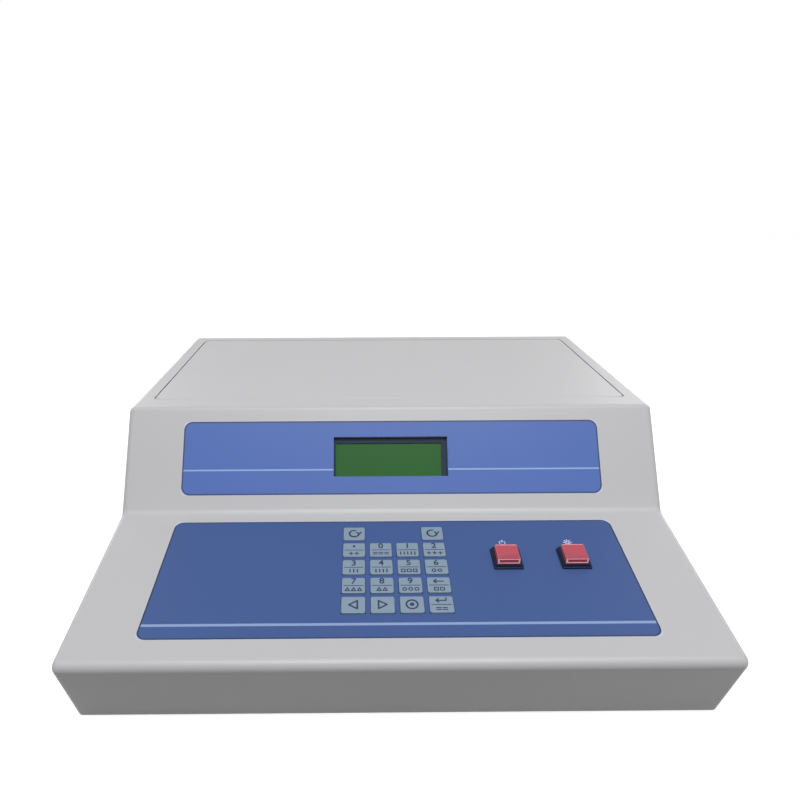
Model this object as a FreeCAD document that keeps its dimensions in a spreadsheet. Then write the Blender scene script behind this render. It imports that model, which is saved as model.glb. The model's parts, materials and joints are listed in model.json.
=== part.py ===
import FreeCAD, Part
import math
import os
import re

import Sketcher
from FreeCAD import Placement, Rotation, Vector

# Bench color difference meter: a stepped moulded console with a hinged lid over its sample compartment.
# Millimetres. X runs to the right, Y to the back, Z up; the origin is under the middle, on the table.

sizes = {
    # outside of the console, measured along its profile
    "case_width": 380,
    "top_depth": 219,
    "panel_length": 76.2,
    "panel_angle": 58,
    "deck_length": 132,
    "deck_angle": 10.55,
    "front_drop": 52,
    "front_angle": 24,
    "foot_height": 3,
    "wall": 3,
    "brow_radius": 4,
    "crease_radius": 6,
    "lip_radius": 5,
    "back_radius": 4,
    "side_radius": 4,
    # lid and its hinge
    "lid_side_margin": 13,
    "lid_depth": 183,
    "lid_front_margin": 20,
    "lid_thickness": 3,
    "lid_corner": 4,
    "lid_edge": 0.5,
    "lid_gap": 0.8,
    "lid_back_gap": 1.3,
    "lid_rim_height": 6,
    "lid_rim_width": 2.5,
    "lid_rim_gap": 1.5,
    "pivot_setback": 12,
    "pivot_drop": 5,
    "pin_radius": 1.5,
    "pin_clearance": 0.05,
    "pin_end": 2,
    "ear_radius": 4.5,
    "ear_width": 9,
    "ear_gap": 4,
    "ledge_width": 5,
    "ledge_thickness": 2,
    "seal_width": 4,
    "seal_thickness": 1,
    # sample compartment
    "tray_depth": 46,
    "tray_wall": 2.5,
    "tray_flange": 6,
    "port_x": 30,
    "port_setback": 94,
    "port_radius": 15,
    "port_seat_radius": 33,
    "port_flange_radius": 38,
    "port_flange": 2.5,
    "seat_clearance": 0.2,
    "well_offset": 76,
    "well_length": 56,
    "well_width": 76,
    "well_depth": 74,
    "beam_radius": 11,
    "tile_x": 125,
    "tile_radius": 25,
    "tile_thickness": 8,
    "tile_rim": 2.5,
    "tile_rim_height": 4,
    "tile_clearance": 0.5,
    "cell_size": 12.5,
    "cell_clearance": 0.3,
    "cell_jaw": 4,
    "cell_jaw_height": 50,
    "cell_base_length": 36,
    "cell_base_width": 60,
    "cell_base_thickness": 3,
    # sample press
    "press_reach": 48,
    "post_radius": 6,
    "post_height": 18,
    "post_pin_radius": 3,
    "post_pin_height": 12,
    "arm_hub_radius": 9,
    "arm_width": 10,
    "arm_thickness": 8,
    "stem_radius": 3,
    "foot_radius": 20,
    "foot_thickness": 4,
    "foot_gap": 0.3,
    "knob_radius": 7,
    "knob_thickness": 5,
    "knob_gap": 3,
    # integrating sphere, lamp and detector
    "sphere_radius": 41,
    "sphere_wall": 4,
    "sphere_neck": 3,
    "sphere_split": 16,
    "sphere_flange": 3,
    "sphere_flange_thickness": 3,
    "neck_wall": 3,
    "outlet_neck": 5,
    "stand_radius": 20,
    "lamp_box_length": 53,
    "lamp_box_width": 52,
    "lamp_box_wall": 2.5,
    "lamp_box_top": 26,
    "barrel_length": 36,
    "barrel_wall": 3,
    "lens_radius": 14,
    "lens_edge": 2,
    "lens_curve": 26,
    "lens_place": 18,
    "bulb_radius": 6,
    "bulb_length": 14,
    "socket_radius": 12,
    "detector_length": 30,
    "detector_width": 50,
    "detector_height": 40,
    "detector_front": 5,
    "detector_wall": 3,
    "filter_radius": 6,
    "filter_thickness": 2,
    "filter_pitch": 13,
    "cell_height": 6,
    "board_thickness": 1.6,
    # display
    "film_thickness": 0.5,
    "film_side_margin": 40.7,
    "film_corner": 4,
    "display_film_start": 12.1,
    "display_film_height": 53.8,
    "window_x": -0.5,
    "window_start": 25.3,
    "window_width": 81.6,
    "window_height": 28.5,
    "view_x": -1.8,
    "view_start": 23.7,
    "view_width": 76,
    "view_height": 26,
    "lcd_frame_width": 97,
    "lcd_frame_height": 40,
    "lcd_frame_depth": 9,
    "lcd_frame_wall": 1,
    "lcd_gap": 0.3,
    "glass_thickness": 2.4,
    "glass_margin": 3,
    "lcd_board_side": 0.5,
    "lcd_board_edge": 10,
    "board_post_radius": 3,
    "board_post_inset": 4,
    # keypad
    "keypad_film_start": 19,
    "keypad_film_height": 103.5,
    "keys_x": -0.3,
    "keys_start": 44,
    "key_width": 14.2,
    "key_height": 12.8,
    "key_pitch_x": 17.4,
    "key_pitch_y": 16.05,
    "key_corner": 1.2,
    "key_proud": 0.9,
    "key_edge": 0.3,
    "key_clearance": 0.2,
    "key_flange": 0.7,
    "key_flange_thickness": 1.2,
    "key_rest_gap": 0.05,
    "key_travel": 0.6,
    "dome_size": 6,
    "dome_height": 3.5,
    "keypad_board_margin": 8,
    # push buttons
    "switch_x": 71.5,
    "switch_pitch": 43.1,
    "switch_y": 83.2,
    "bezel_size": 19,
    "bezel_thickness": 1.3,
    "collar_size": 17.2,
    "collar_height": 2.8,
    "barrel_depth": 26,
    "cap_size": 14.2,
    "cap_height": 6.2,
    "cap_depth": 8,
    "cap_corner": 1,
    "cap_edge": 0.6,
    "cap_clearance": 0.2,
    "cap_travel": 3,
    "hole_clearance": 0.2,
    # base and feet
    "base_thickness": 1.5,
    "base_recess": 1,
    "base_clearance": 0.5,
    "base_boss": 12,
    "base_boss_height": 18,
    "base_boss_front": -120,
    "base_boss_pitch": 135,
    "foot_x": 160,
    "foot_front": -145,
    "foot_pitch": 312,
    "rubber_radius": 10,
    "rubber_stem_radius": 3,
    "rubber_head_radius": 4.2,
    "rubber_head": 2,
    "screw_radius": 1.5,
    "screw_length": 8,
    "screw_head_radius": 2.8,
    "screw_head": 1.8,
    # rear panel and what it carries
    "rear_side_margin": 20.5,
    "rear_height": 80,
    "rear_bottom": 8,
    "rear_gap": 0.5,
    "rear_recess": 6,
    "rear_thickness": 2,
    "rear_boss": 10,
    "rear_boss_width": 29,
    "rear_screw_inset": 5,
    "fan_side_gap": 37,
    "fan_size": 60,
    "fan_depth": 15,
    "fan_z": 45,
    "fan_screw_inset": 5,
    "fan_bore": 27.5,
    "fan_hub_radius": 12,
    "fan_hub_depth": 8,
    "fan_blade_radius": 26,
    "fan_blade_thickness": 1.4,
    "fan_blade_depth": 7,
    "fan_blade_tilt": 35,
    "fan_blades": 7,
    "fan_strut_width": 5,
    "fan_strut_thickness": 2,
    "fan_axle_radius": 1.5,
    "fan_axle_length": 1.5,
    "fan_hub_gap": 0.3,
    "grille_slot": 3,
    "grille_pitch": 6,
    "grille_slots": 9,
    "inlet_x": 85,
    "inlet_z": 45,
    "inlet_flange_width": 48,
    "inlet_flange_height": 36,
    "inlet_flange": 2.5,
    "inlet_body_width": 28,
    "inlet_body_height": 34,
    "inlet_body_depth": 24,
    "socket_width": 24.5,
    "socket_height": 16.5,
    "socket_depth": 16,
    "socket_rise": 5,
    "prong_width": 2,
    "prong_height": 5,
    "prong_length": 13,
    "prong_pitch": 7,
    "prong_drop": 3,
    "drawer_width": 22,
    "drawer_height": 8,
    "drawer_depth": 18,
    "drawer_drop": 10,
    "drawer_clearance": 0.15,
    "drawer_lip": 1,
    "port_z": 40,
    "serial_x": -60,
    "serial_width": 17,
    "serial_flange_width": 31,
    "printer_x": 0,
    "printer_width": 39,
    "printer_flange_width": 53,
    "port_shell_height": 8.4,
    "port_flange_height": 12.5,
    "port_flange_thickness": 1,
    "port_shell_length": 6,
    "port_body_depth": 10,
    "port_post_radius": 2.5,
    "port_post_length": 4,
    # transformer and main board
    "core_side_gap": 10,
    "core_y": 128,
    "core_width": 66,
    "core_height": 55,
    "core_stack": 22,
    "core_limb": 11,
    "winding_wall": 9,
    "winding_gap": 0.3,
    "main_board_width": 260,
    "main_board_depth": 96,
    "main_board_front": -150,
    "standoff_height": 8,
    "standoff_radius": 3,
    "chip_width": 30,
    "chip_depth": 14,
    "chip_height": 4,
    "chip_pitch": 50,
}

# places worked out from the sizes
places = {
    "deck_rise": "deck_length * sin(deck_angle)",
    "deck_run": "deck_length * cos(deck_angle)",
    "panel_rise": "panel_length * sin(panel_angle)",
    "panel_run": "panel_length * cos(panel_angle)",
    "lip_shortening":
        "lip_radius * ((cos(deck_angle) + sin(front_angle)) / cos(front_angle - deck_angle) - 1)",
    "back_y": "(top_depth + panel_run + deck_run - lip_shortening) / 2",
    "front_y": "-back_y - lip_shortening",
    "lip_z": "foot_height + front_drop",
    "crease_y": "front_y + deck_run",
    "crease_z": "lip_z + deck_rise",
    "brow_y": "crease_y + panel_run",
    "top_z": "crease_z + panel_rise",
    "profile_turn": "1 + cos(panel_angle - deck_angle)",
    "inner_crease_y": "crease_y + wall * (sin(panel_angle) + sin(deck_angle)) / profile_turn",
    "inner_crease_z": "crease_z - wall * (cos(panel_angle) + cos(deck_angle)) / profile_turn",
    "lip_turn": "1 + sin(deck_angle - front_angle)",
    "inner_lip_y": "front_y + wall * (sin(deck_angle) + cos(front_angle)) / lip_turn",
    "inner_lip_z": "lip_z - wall * (cos(deck_angle) - sin(front_angle)) / lip_turn",
    "lid_width": "case_width - 2 * lid_side_margin",
    "lid_front_y": "brow_y + lid_front_margin",
    "lid_back_y": "lid_front_y + lid_depth",
    "lid_under_z": "top_z - lid_thickness",
    "opening_width": "lid_width + 2 * lid_gap",
    "opening_front_y": "lid_front_y - lid_gap",
    "opening_depth": "lid_depth + lid_gap + lid_back_gap",
    "pivot_y": "lid_back_y - pivot_setback",
    "pivot_z": "top_z - pivot_drop",
    "ledge_z": "lid_under_z - seal_thickness",
    "ledge_length": "pivot_y - ear_radius - ear_gap - opening_front_y",
    "ear_x": "lid_width / 2 - ledge_width - lid_rim_gap - ear_width",
    "floor_z": "top_z - tray_depth",
    "under_tray_z": "floor_z - tray_wall",
    "port_y": "lid_front_y + port_setback",
    "well_x": "port_x - well_offset",
    "well_z": "floor_z - well_depth",
    "sphere_z": "under_tray_z - sphere_neck - sphere_radius",
    "split_z": "sphere_z + sphere_split",
    "ring_top_z": "floor_z + port_flange",
    "post_y": "port_y + press_reach",
    "arm_z": "floor_z + post_height",
    "knob_z": "arm_z + arm_thickness + knob_gap",
    "base_z": "foot_height + base_recess",
    "base_top_z": "base_z + base_thickness",
    "barrel_end_x": "well_x - well_length / 2 - tray_wall",
    "lamp_front_x": "barrel_end_x - barrel_length",
    "lamp_x": "lamp_front_x - lamp_box_length / 2",
    "detector_x": "port_x + sphere_radius + outlet_neck",
    "detector_end_x": "detector_x + detector_length",
    "rear_width": "case_width - 2 * rear_side_margin",
    "panel_out_y": "back_y - rear_recess",
    "panel_in_y": "panel_out_y - rear_thickness",
    "rear_z": "foot_height + rear_bottom",
    "fan_front_y": "panel_in_y - fan_depth",
    "fan_x": "-(case_width / 2 - wall - fan_side_gap - fan_size / 2)",
    "core_x": "case_width / 2 - wall - core_side_gap - core_width / 2",
    "film_width": "case_width - 2 * film_side_margin",
    "lcd_front": "-(wall + lcd_gap)",
    "lcd_board_top": "lcd_front - lcd_frame_depth",
    "lcd_y": "view_start + view_height / 2",
    "lcd_board_width": "lcd_frame_width + 2 * lcd_board_side",
    "lcd_board_height": "lcd_frame_height + 2 * lcd_board_edge",
    "keypad_board_top":
        "-(wall + key_rest_gap + key_flange_thickness + key_travel + key_rest_gap + dome_height)",
    "keypad_board_start": "keys_start - key_height / 2 - keypad_board_margin",
    "keypad_board_height": "4 * key_pitch_y + key_height + 2 * keypad_board_margin",
    "keypad_board_width": "3 * key_pitch_x + key_width + 2 * keypad_board_margin",
    "board_z": "base_top_z + standoff_height",
}


def cell(text):
    """The expression with each name written out as cells of the sheet."""
    def spell(match):
        word = match.group()
        if word in places:
            return "(" + cell(places[word]) + ")"
        return "Sizes." + word if word in sizes else word
    return re.sub(r"[a-z][a-z0-9_]*", spell, str(text))


doc = FreeCAD.newDocument("ColorDifferenceMeter")
sheet = doc.addObject("Spreadsheet::Sheet", "Sizes")
for row, (alias, size) in enumerate(sizes.items(), start=1):
    sheet.set(f"A{row}", alias)
    sheet.set(f"B{row}", str(size))
    sheet.setAlias(f"B{row}", alias)
doc.recompute()

# the two slanted faces: the place of their lower edge and their slope
slants = {
    "panel": ("crease_y", "crease_z", "panel_angle"),
    "deck": ("front_y", "lip_z", "deck_angle"),
}
turns = {
    "x": Rotation(Vector(0, 1, 0), 90),
    "y": Rotation(Vector(1, 0, 0), -90),
    "z": Rotation(),
}
nodes = []


def bind(feature, **expressions):
    for name, expression in expressions.items():
        feature.setExpression(name, cell(expression))


def place(feature, x, y, z, on=None, along="z"):
    """Put a feature at a point of the case, or of a slanted face with Z out of it."""
    if on:
        start_y, start_z, angle = slants[on]
        y, z = (
            f"{start_y} + ({y}) * cos({angle}) - ({z}) * sin({angle})",
            f"{start_z} + ({y}) * sin({angle}) + ({z}) * cos({angle})",
        )
        feature.Placement = Placement(Vector(), Rotation(Vector(1, 0, 0), 1))
        feature.setExpression(".Placement.Rotation.Angle", cell(angle))
    else:
        feature.Placement = Placement(Vector(), turns[along])
    for letter, expression in zip("xyz", (x, y, z)):
        feature.setExpression(f".Placement.Base.{letter}", cell(expression))


def plain_body(label, on=None):
    """A new body; on a slanted face its own Z points out of that face."""
    body = doc.addObject("PartDesign::Body", label)
    body.Label = label
    if on:
        place(body, 0, 0, 0, on)
    return body


def node(label, on=None):
    """A new body that is a piece by itself."""
    body = plain_body(label, on)
    nodes.append(body)
    return body


def primitive(body, kind, name, spot, on=None, along="z", **lengths):
    """A feature of a body, or one more solid of a plain list of solids."""
    if isinstance(body, list):
        feature = doc.addObject("Part::" + kind.replace("Additive", ""), name)
        body.append(feature)
    else:
        feature = body.newObject("PartDesign::" + kind, name)
    bind(feature, **lengths)
    place(feature, *spot, on, along)
    return feature


def box(body, name, x, y, z, length, width, height, on=None, kind="Additive"):
    """A box from its lowest corner."""
    return primitive(body, kind + "Box", name, (x, y, z), on, Length=length, Width=width, Height=height)


def cut_box(body, name, x, y, z, length, width, height, on=None):
    return box(body, name, x, y, z, length, width, height, on, "Subtractive")


def rod(body, name, x, y, z, radius, height, along="z", on=None, kind="Additive"):
    """A cylinder from the middle of its first end."""
    return primitive(body, kind + "Cylinder", name, (x, y, z), on, along, Radius=radius, Height=height)


def hole(body, name, x, y, z, radius, height, along="z", on=None):
    return rod(body, name, x, y, z, radius, height, along, on, "Subtractive")


def join(label, solids):
    """One piece from solids that touch or overlap."""
    whole = doc.addObject("Part::MultiFuse", label)
    whole.Shapes = solids
    return named(whole, label)


def group(label, solids):
    """Separate solids kept together, such as a set of screws."""
    whole = doc.addObject("Part::Compound", label)
    whole.Links = solids
    return named(whole, label)


def cut(label, base, tools):
    """A piece with the tools taken away from it."""
    result = doc.addObject("Part::Cut", label)
    result.Base = base
    result.Tool = tools[0] if len(tools) == 1 else group(label + "_tools", tools)
    doc.recompute()
    if result.Shape.Volume >= base.Shape.Volume:
        raise ValueError(f"{label} is cut by nothing")
    return named(result, label)


def named(feature, label):
    feature.Label = label
    return feature


def middle(length, centre="0"):
    """Where a length starts when it lies centred on a place."""
    return f"{centre} - ({length}) / 2"


def fillet(body, name, radius, wanted):
    """Round those edges of the body that the test wants."""
    doc.recompute()
    base = body.Tip
    names = [f"Edge{i}" for i, edge in enumerate(base.Shape.Edges, start=1) if wanted(edge)]
    feature = body.newObject("PartDesign::Fillet", name)
    feature.Base = (base, names)
    bind(feature, Radius=radius)
    doc.recompute()
    return feature


def runs(edge, x, y, z):
    """True for a straight edge along the given direction."""
    if edge.Degenerated or len(edge.Vertexes) < 2:
        return False
    chord = edge.Vertexes[1].Point - edge.Vertexes[0].Point
    return abs(abs(chord.dot(Vector(x, y, z))) - edge.Length) < 1e-6


def upright(edge):
    return runs(edge, 0, 0, 1)


def at_height(edge, height):
    box_of_edge = edge.BoundBox
    return abs(box_of_edge.ZMin - height) < 1e-4 and abs(box_of_edge.ZMax - height) < 1e-4


def outline(body, name, points, plane="YZ_Plane"):
    """A closed sketch through points given as pairs of expressions."""
    sketch = body.newObject("Sketcher::SketchObject", name)
    origin_plane = [item for item in body.Origin.OriginFeatures if item.Role == plane][0]
    sketch.AttachmentSupport = (origin_plane, [""])
    sketch.MapMode = "FlatFace"
    count = len(points)
    ring = [Vector(math.cos(math.tau * i / count), math.sin(math.tau * i / count), 0) for i in range(count)]
    for i in range(count):
        sketch.addGeometry(Part.LineSegment(ring[i], ring[(i + 1) % count]))
    for i in range(count):
        sketch.addConstraint(Sketcher.Constraint("Coincident", i, 2, (i + 1) % count, 1))
    for i, (across, up) in enumerate(points):
        for direction, expression in (("DistanceX", across), ("DistanceY", up)):
            number = sketch.addConstraint(Sketcher.Constraint(direction, -1, 1, i, 1, 1.0))
            sketch.setExpression(f"Constraints[{number}]", cell(expression))
    return sketch


def pad(body, name, sketch, length):
    """Raise a sketch to both sides of its plane."""
    feature = body.newObject("PartDesign::Pad", name)
    feature.Profile = sketch
    feature.SideType = "Symmetric"
    bind(feature, Length=length)
    return feature


def pocket(body, name, sketch, length):
    """Cut a sketch away to both sides of its plane."""
    before = body.Tip
    feature = body.newObject("PartDesign::Pocket", name)
    feature.Profile = sketch
    feature.SideType = "Symmetric"
    bind(feature, Length=length)
    doc.recompute()
    if feature.Shape.Volume >= before.Shape.Volume:
        raise ValueError(f"{name} cuts nothing")
    return feature


# keys: columns from the left, rows from the front; the back row has only its end keys
key_spots = [(column, row) for row in range(5) for column in range(4) if row < 4 or column in (0, 3)]


def key_centre(column, row):
    across = f"keys_x + ({column} - 1.5) * key_pitch_x"
    up = f"keys_start + {row} * key_pitch_y"
    return across, up


switch_spots = {"power": "switch_x", "lamp": "switch_x + switch_pitch"}
corner_signs = [(side, end) for side in (-1, 1) for end in (-1, 1)]
base_screw_spots = [(side, row) for row in range(3) for side in (-1, 1)]
rear_screw_spots = [(side, end) for end in (0, 1) for side in (-1, 1)]


def base_screw_place(side, row):
    return f"{side} * (case_width / 2 - wall - base_boss / 2)", f"base_boss_front + {row} * base_boss_pitch"


def rear_screw_place(side, end):
    across = f"{side} * (rear_width / 2 - rear_screw_inset)"
    up = f"rear_z + rear_screw_inset + {end} * (rear_height - 2 * rear_screw_inset)"
    return across, up


def fan_screw_spots():
    offset = "(fan_size / 2 - fan_screw_inset)"
    return [(f"fan_x + {side} * {offset}", f"fan_z + {end} * {offset}") for side, end in corner_signs]


def rear_screws():
    """Names and places of all screws in the rear panel."""
    case_screws = [rear_screw_place(side, end) for side, end in rear_screw_spots]
    return {
        **{f"rear_screw_{number}": spot for number, spot in enumerate(case_screws)},
        **{f"fan_screw_{number}": spot for number, spot in enumerate(fan_screw_spots())},
    }


def board_corners(width, height, centre_x, centre_y):
    """The four corners of a board, brought in to where its posts stand."""
    return [
        (
            f"{centre_x} + {side} * (({width}) / 2 - board_post_inset)",
            f"{centre_y} + {end} * (({height}) / 2 - board_post_inset)",
        )
        for side, end in corner_signs
    ]


def lcd_post_spots():
    return board_corners("lcd_board_width", "lcd_board_height", "view_x", "lcd_y")


def keypad_post_spots():
    centre = "keypad_board_start + keypad_board_height / 2"
    return board_corners("keypad_board_width", "keypad_board_height", "keys_x", centre)


def foot_spots():
    return [(f"{side} * foot_x", f"foot_front + {row} * foot_pitch") for side in (-1, 1) for row in (0, 1)]


def build_housing():
    body = plain_body("case_shell")
    profile = outline(body, "case_profile", [
        ("back_y", "foot_height"),
        ("front_y + front_drop * tan(front_angle)", "foot_height"),
        ("front_y", "lip_z"),
        ("crease_y", "crease_z"),
        ("brow_y", "top_z"),
        ("back_y", "top_z"),
    ])
    pad(body, "case_block", profile, "case_width")
    doc.recompute()
    across = sorted(
        (edge for edge in body.Tip.Shape.Edges if runs(edge, 1, 0, 0)),
        key=lambda edge: (round(edge.BoundBox.YMin, 3), edge.BoundBox.ZMin),
    )
    lip, _, crease, brow, _, back_top = [edge.CenterOfMass for edge in across]

    def centred_on(spot):
        return lambda edge: runs(edge, 1, 0, 0) and (edge.CenterOfMass - spot).Length < 0.01

    fillet(body, "lip_round", "lip_radius", centred_on(lip))
    fillet(body, "crease_round", "crease_radius", centred_on(crease))
    fillet(body, "brow_round", "brow_radius", centred_on(brow))
    fillet(body, "back_round", "back_radius", centred_on(back_top))
    extent = body.Tip.Shape.BoundBox

    def on_side(edge):
        return edge.BoundBox.XLength < 1e-6 and edge.BoundBox.ZMax > extent.ZMin + 1e-3

    fillet(body, "side_round", "side_radius", on_side)
    hollow = outline(body, "inner_profile", [
        ("back_y - wall", "foot_height - wall"),
        ("inner_lip_y + (inner_lip_z - foot_height + wall) * tan(front_angle)", "foot_height - wall"),
        ("inner_lip_y", "inner_lip_z"),
        ("inner_crease_y", "inner_crease_z"),
        ("brow_y + wall * tan(panel_angle / 2)", "top_z - wall"),
        ("back_y - wall", "top_z - wall"),
    ])
    pocket(body, "inside", hollow, "case_width - 2 * wall")
    cut_box(
        body, "lid_opening", middle("opening_width"), "opening_front_y", "ledge_z",
        "opening_width", "opening_depth", "2 * wall",
    )
    fillet(
        body, "lid_opening_corners", "lid_corner",
        lambda edge: upright(edge) and edge.BoundBox.ZMax > extent.ZMax - 1e-3,
    )
    openings = key_openings()
    for name, on in (("display", "panel"), ("keypad", "deck")):
        recess = plain_body(f"{name}_recess", on)
        film_sheet(recess, name, "wall")
        openings.append(recess)
    box(
        openings, "window", middle("window_width", "window_x"), "window_start", "-2 * wall",
        "window_width", "window_height", "3 * wall", on="panel",
    )
    box(
        openings, "rear_opening", middle("rear_width + 2 * rear_gap"), "back_y - 1.5 * wall",
        "rear_z - rear_gap", "rear_width + 2 * rear_gap", "2 * wall", "rear_height + 2 * rear_gap",
    )
    bosses, pilots = housing_bosses()
    whole = join("case_with_bosses", [body] + bosses)
    nodes.append(cut("top_housing", whole, openings + pilots))


def film_sheet(body, name, thickness):
    """A sheet with rounded corners, sunk in a slanted face by the thickness of the film."""
    box(
        body, f"{name}_sheet", middle("film_width"), f"{name}_film_start", "-film_thickness",
        "film_width", f"{name}_film_height", thickness,
    )
    fillet(body, f"{name}_corners", "film_corner", upright)


def key_openings():
    """Openings for the keys and the push buttons, in the deck or in the film on it."""
    openings = []
    for column, row in key_spots:
        across, up = key_centre(column, row)
        width = "key_width + 2 * key_clearance"
        height = "key_height + 2 * key_clearance"
        box(
            openings, f"key_opening_{column}_{row}", middle(width, across), middle(height, up),
            "-2 * wall", width, height, "3 * wall", on="deck",
        )
    for name, across in switch_spots.items():
        size = "collar_size + 2 * hole_clearance"
        box(
            openings, f"{name}_opening", middle(size, across), middle(size, "switch_y"),
            "-2 * wall", size, size, "3 * wall", on="deck",
        )
    return openings


def housing_bosses():
    """Bosses for the base and rear screws and posts for the boards, and the screws' pilot holes."""
    bosses = []
    pilots = []
    for side, row in base_screw_spots:
        across, up = base_screw_place(side, row)
        box(
            bosses, f"base_boss_{side + 1}_{row}", middle("base_boss", across), middle("base_boss", up),
            "base_top_z", "base_boss", "base_boss", "base_boss_height",
        )
        rod(pilots, f"base_pilot_{side + 1}_{row}", across, up, "base_top_z", "screw_radius", "screw_length")
    for side, end in rear_screw_spots:
        across, up = rear_screw_place(side, end)
        start = middle("rear_boss_width", f"{side} * (case_width / 2 - wall - rear_boss_width / 2)")
        box(
            bosses, f"rear_boss_{side + 1}_{end}", start, "panel_in_y - rear_boss", middle("rear_boss", up),
            "rear_boss_width", "rear_boss", "rear_boss",
        )
        rod(
            pilots, f"rear_pilot_{side + 1}_{end}", across, "panel_in_y - screw_length", up,
            "screw_radius", "screw_length", "y",
        )
    for name, on, top, spots in (
        ("lcd", "panel", "lcd_board_top", lcd_post_spots()),
        ("keypad", "deck", "keypad_board_top", keypad_post_spots()),
    ):
        for number, (across, up) in enumerate(spots):
            height = f"-({top}) - wall / 2"
            rod(bosses, f"{name}_post_{number}", across, up, top, "board_post_radius", height, on=on)
    return bosses, pilots


def build_base():
    front = "inner_lip_y + (inner_lip_z - base_z) * tan(front_angle) + base_clearance"
    width = "case_width - 2 * wall - 2 * base_clearance"
    solids = []
    box(
        solids, "base_sheet", middle(width), front, "base_z",
        width, f"back_y - wall - base_clearance - ({front})", "base_thickness",
    )
    for number, (across, up) in enumerate(board_corners(*main_board_place())):
        rod(solids, f"standoff_{number}", across, up, "base_top_z", "standoff_radius", "standoff_height")
    holes = []
    for side, row in base_screw_spots:
        across, up = base_screw_place(side, row)
        rod(
            holes, f"base_screw_hole_{side + 1}_{row}", across, up, "base_z - base_recess",
            "screw_radius + hole_clearance", "2 * base_recess + base_thickness",
        )
    for number, (across, up) in enumerate(foot_spots()):
        rod(
            holes, f"foot_hole_{number}", across, up, "base_z - base_recess",
            "rubber_stem_radius", "2 * base_recess + base_thickness",
        )
    nodes.append(cut("base_plate", join("base_with_standoffs", solids), holes))


def build_feet():
    solids = []
    for number, (across, up) in enumerate(foot_spots()):
        rod(solids, f"foot_pad_{number}", across, up, 0, "rubber_radius", "base_z")
        rod(solids, f"foot_stem_{number}", across, up, 0, "rubber_stem_radius", "base_top_z + rubber_head")
        rod(solids, f"foot_head_{number}", across, up, "base_top_z", "rubber_head_radius", "rubber_head")
    nodes.append(join("rubber_feet", solids))


def build_screws():
    solids = []
    for side, row in base_screw_spots:
        across, up = base_screw_place(side, row)
        name = f"base_screw_{side + 1}_{row}"
        rod(solids, name + "_head", across, up, "base_z - screw_head", "screw_head_radius", "screw_head")
        rod(solids, name + "_thread", across, up, "base_z - screw_head / 2", "screw_radius", "screw_length")
    for name, (across, up) in rear_screws().items():
        rod(solids, name + "_head", across, "panel_out_y", up, "screw_head_radius", "screw_head", "y")
        start = "panel_out_y + screw_head / 2 - screw_length"
        rod(solids, name + "_thread", across, start, up, "screw_radius", "screw_length", "y")
    nodes.append(join("screws", solids))


def build_rear_panel():
    plate = []
    box(
        plate, "rear_sheet", middle("rear_width"), "panel_in_y", "rear_z",
        "rear_width", "rear_thickness", "rear_height",
    )
    start = "panel_in_y - rear_thickness"
    through = "3 * rear_thickness"
    holes = []
    radius = "screw_radius + hole_clearance"
    for name, (across, up) in rear_screws().items():
        rod(holes, name + "_hole", across, start, up, radius, through, "y")
    for slot in range(sizes["grille_slots"]):
        height = f"fan_z + ({slot} - (grille_slots - 1) / 2) * grille_pitch"
        chord = f"2 * sqrt(fan_bore ^ 2 - (({slot} - (grille_slots - 1) / 2) * grille_pitch) ^ 2)"
        box(
            holes, f"grille_slot_{slot}", middle(chord, "fan_x"), start, middle("grille_slot", height),
            chord, through, "grille_slot",
        )
    width = "inlet_body_width + 2 * hole_clearance"
    height = "inlet_body_height + 2 * hole_clearance"
    box(
        holes, "inlet_opening", middle(width, "inlet_x"), start, middle(height, "inlet_z"),
        width, through, height,
    )
    for name in ("serial", "printer"):
        width = f"{name}_width + 2 * hole_clearance"
        height = "port_shell_height + 2 * hole_clearance"
        box(
            holes, f"{name}_opening", middle(width, f"{name}_x"), start, middle(height, "port_z"),
            width, through, height,
        )
        for side in (-1, 1):
            across = port_post_place(name, side)
            rod(holes, f"{name}_post_hole_{side + 1}", across, start, "port_z", radius, through, "y")
    nodes.append(cut("rear_panel", plate[0], holes))


def port_post_place(name, side):
    return f"{name}_x + {side} * ({name}_flange_width / 2 - port_post_radius - port_flange_thickness)"


def build_port(name):
    """A two-row connector: its flange behind the panel, its shell and its two jack posts outside."""
    body = node(f"{name}_port")
    box(
        body, f"{name}_flange", middle(f"{name}_flange_width", f"{name}_x"),
        "panel_in_y - port_flange_thickness", middle("port_flange_height", "port_z"),
        f"{name}_flange_width", "port_flange_thickness", "port_flange_height",
    )
    box(
        body, f"{name}_back", middle(f"{name}_width", f"{name}_x"),
        "panel_in_y - port_flange_thickness - port_body_depth", middle("port_shell_height", "port_z"),
        f"{name}_width", "port_body_depth + port_flange_thickness + port_shell_length", "port_shell_height",
    )
    for side in (-1, 1):
        across = port_post_place(name, side)
        rod(
            body, f"{name}_post_thread_{side + 1}", across, "panel_in_y - port_flange_thickness", "port_z",
            "screw_radius", "port_flange_thickness + rear_thickness + port_post_length", "y",
        )
        rod(
            body, f"{name}_post_{side + 1}", across, "panel_out_y", "port_z",
            "port_post_radius", "port_post_length", "y",
        )


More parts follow.
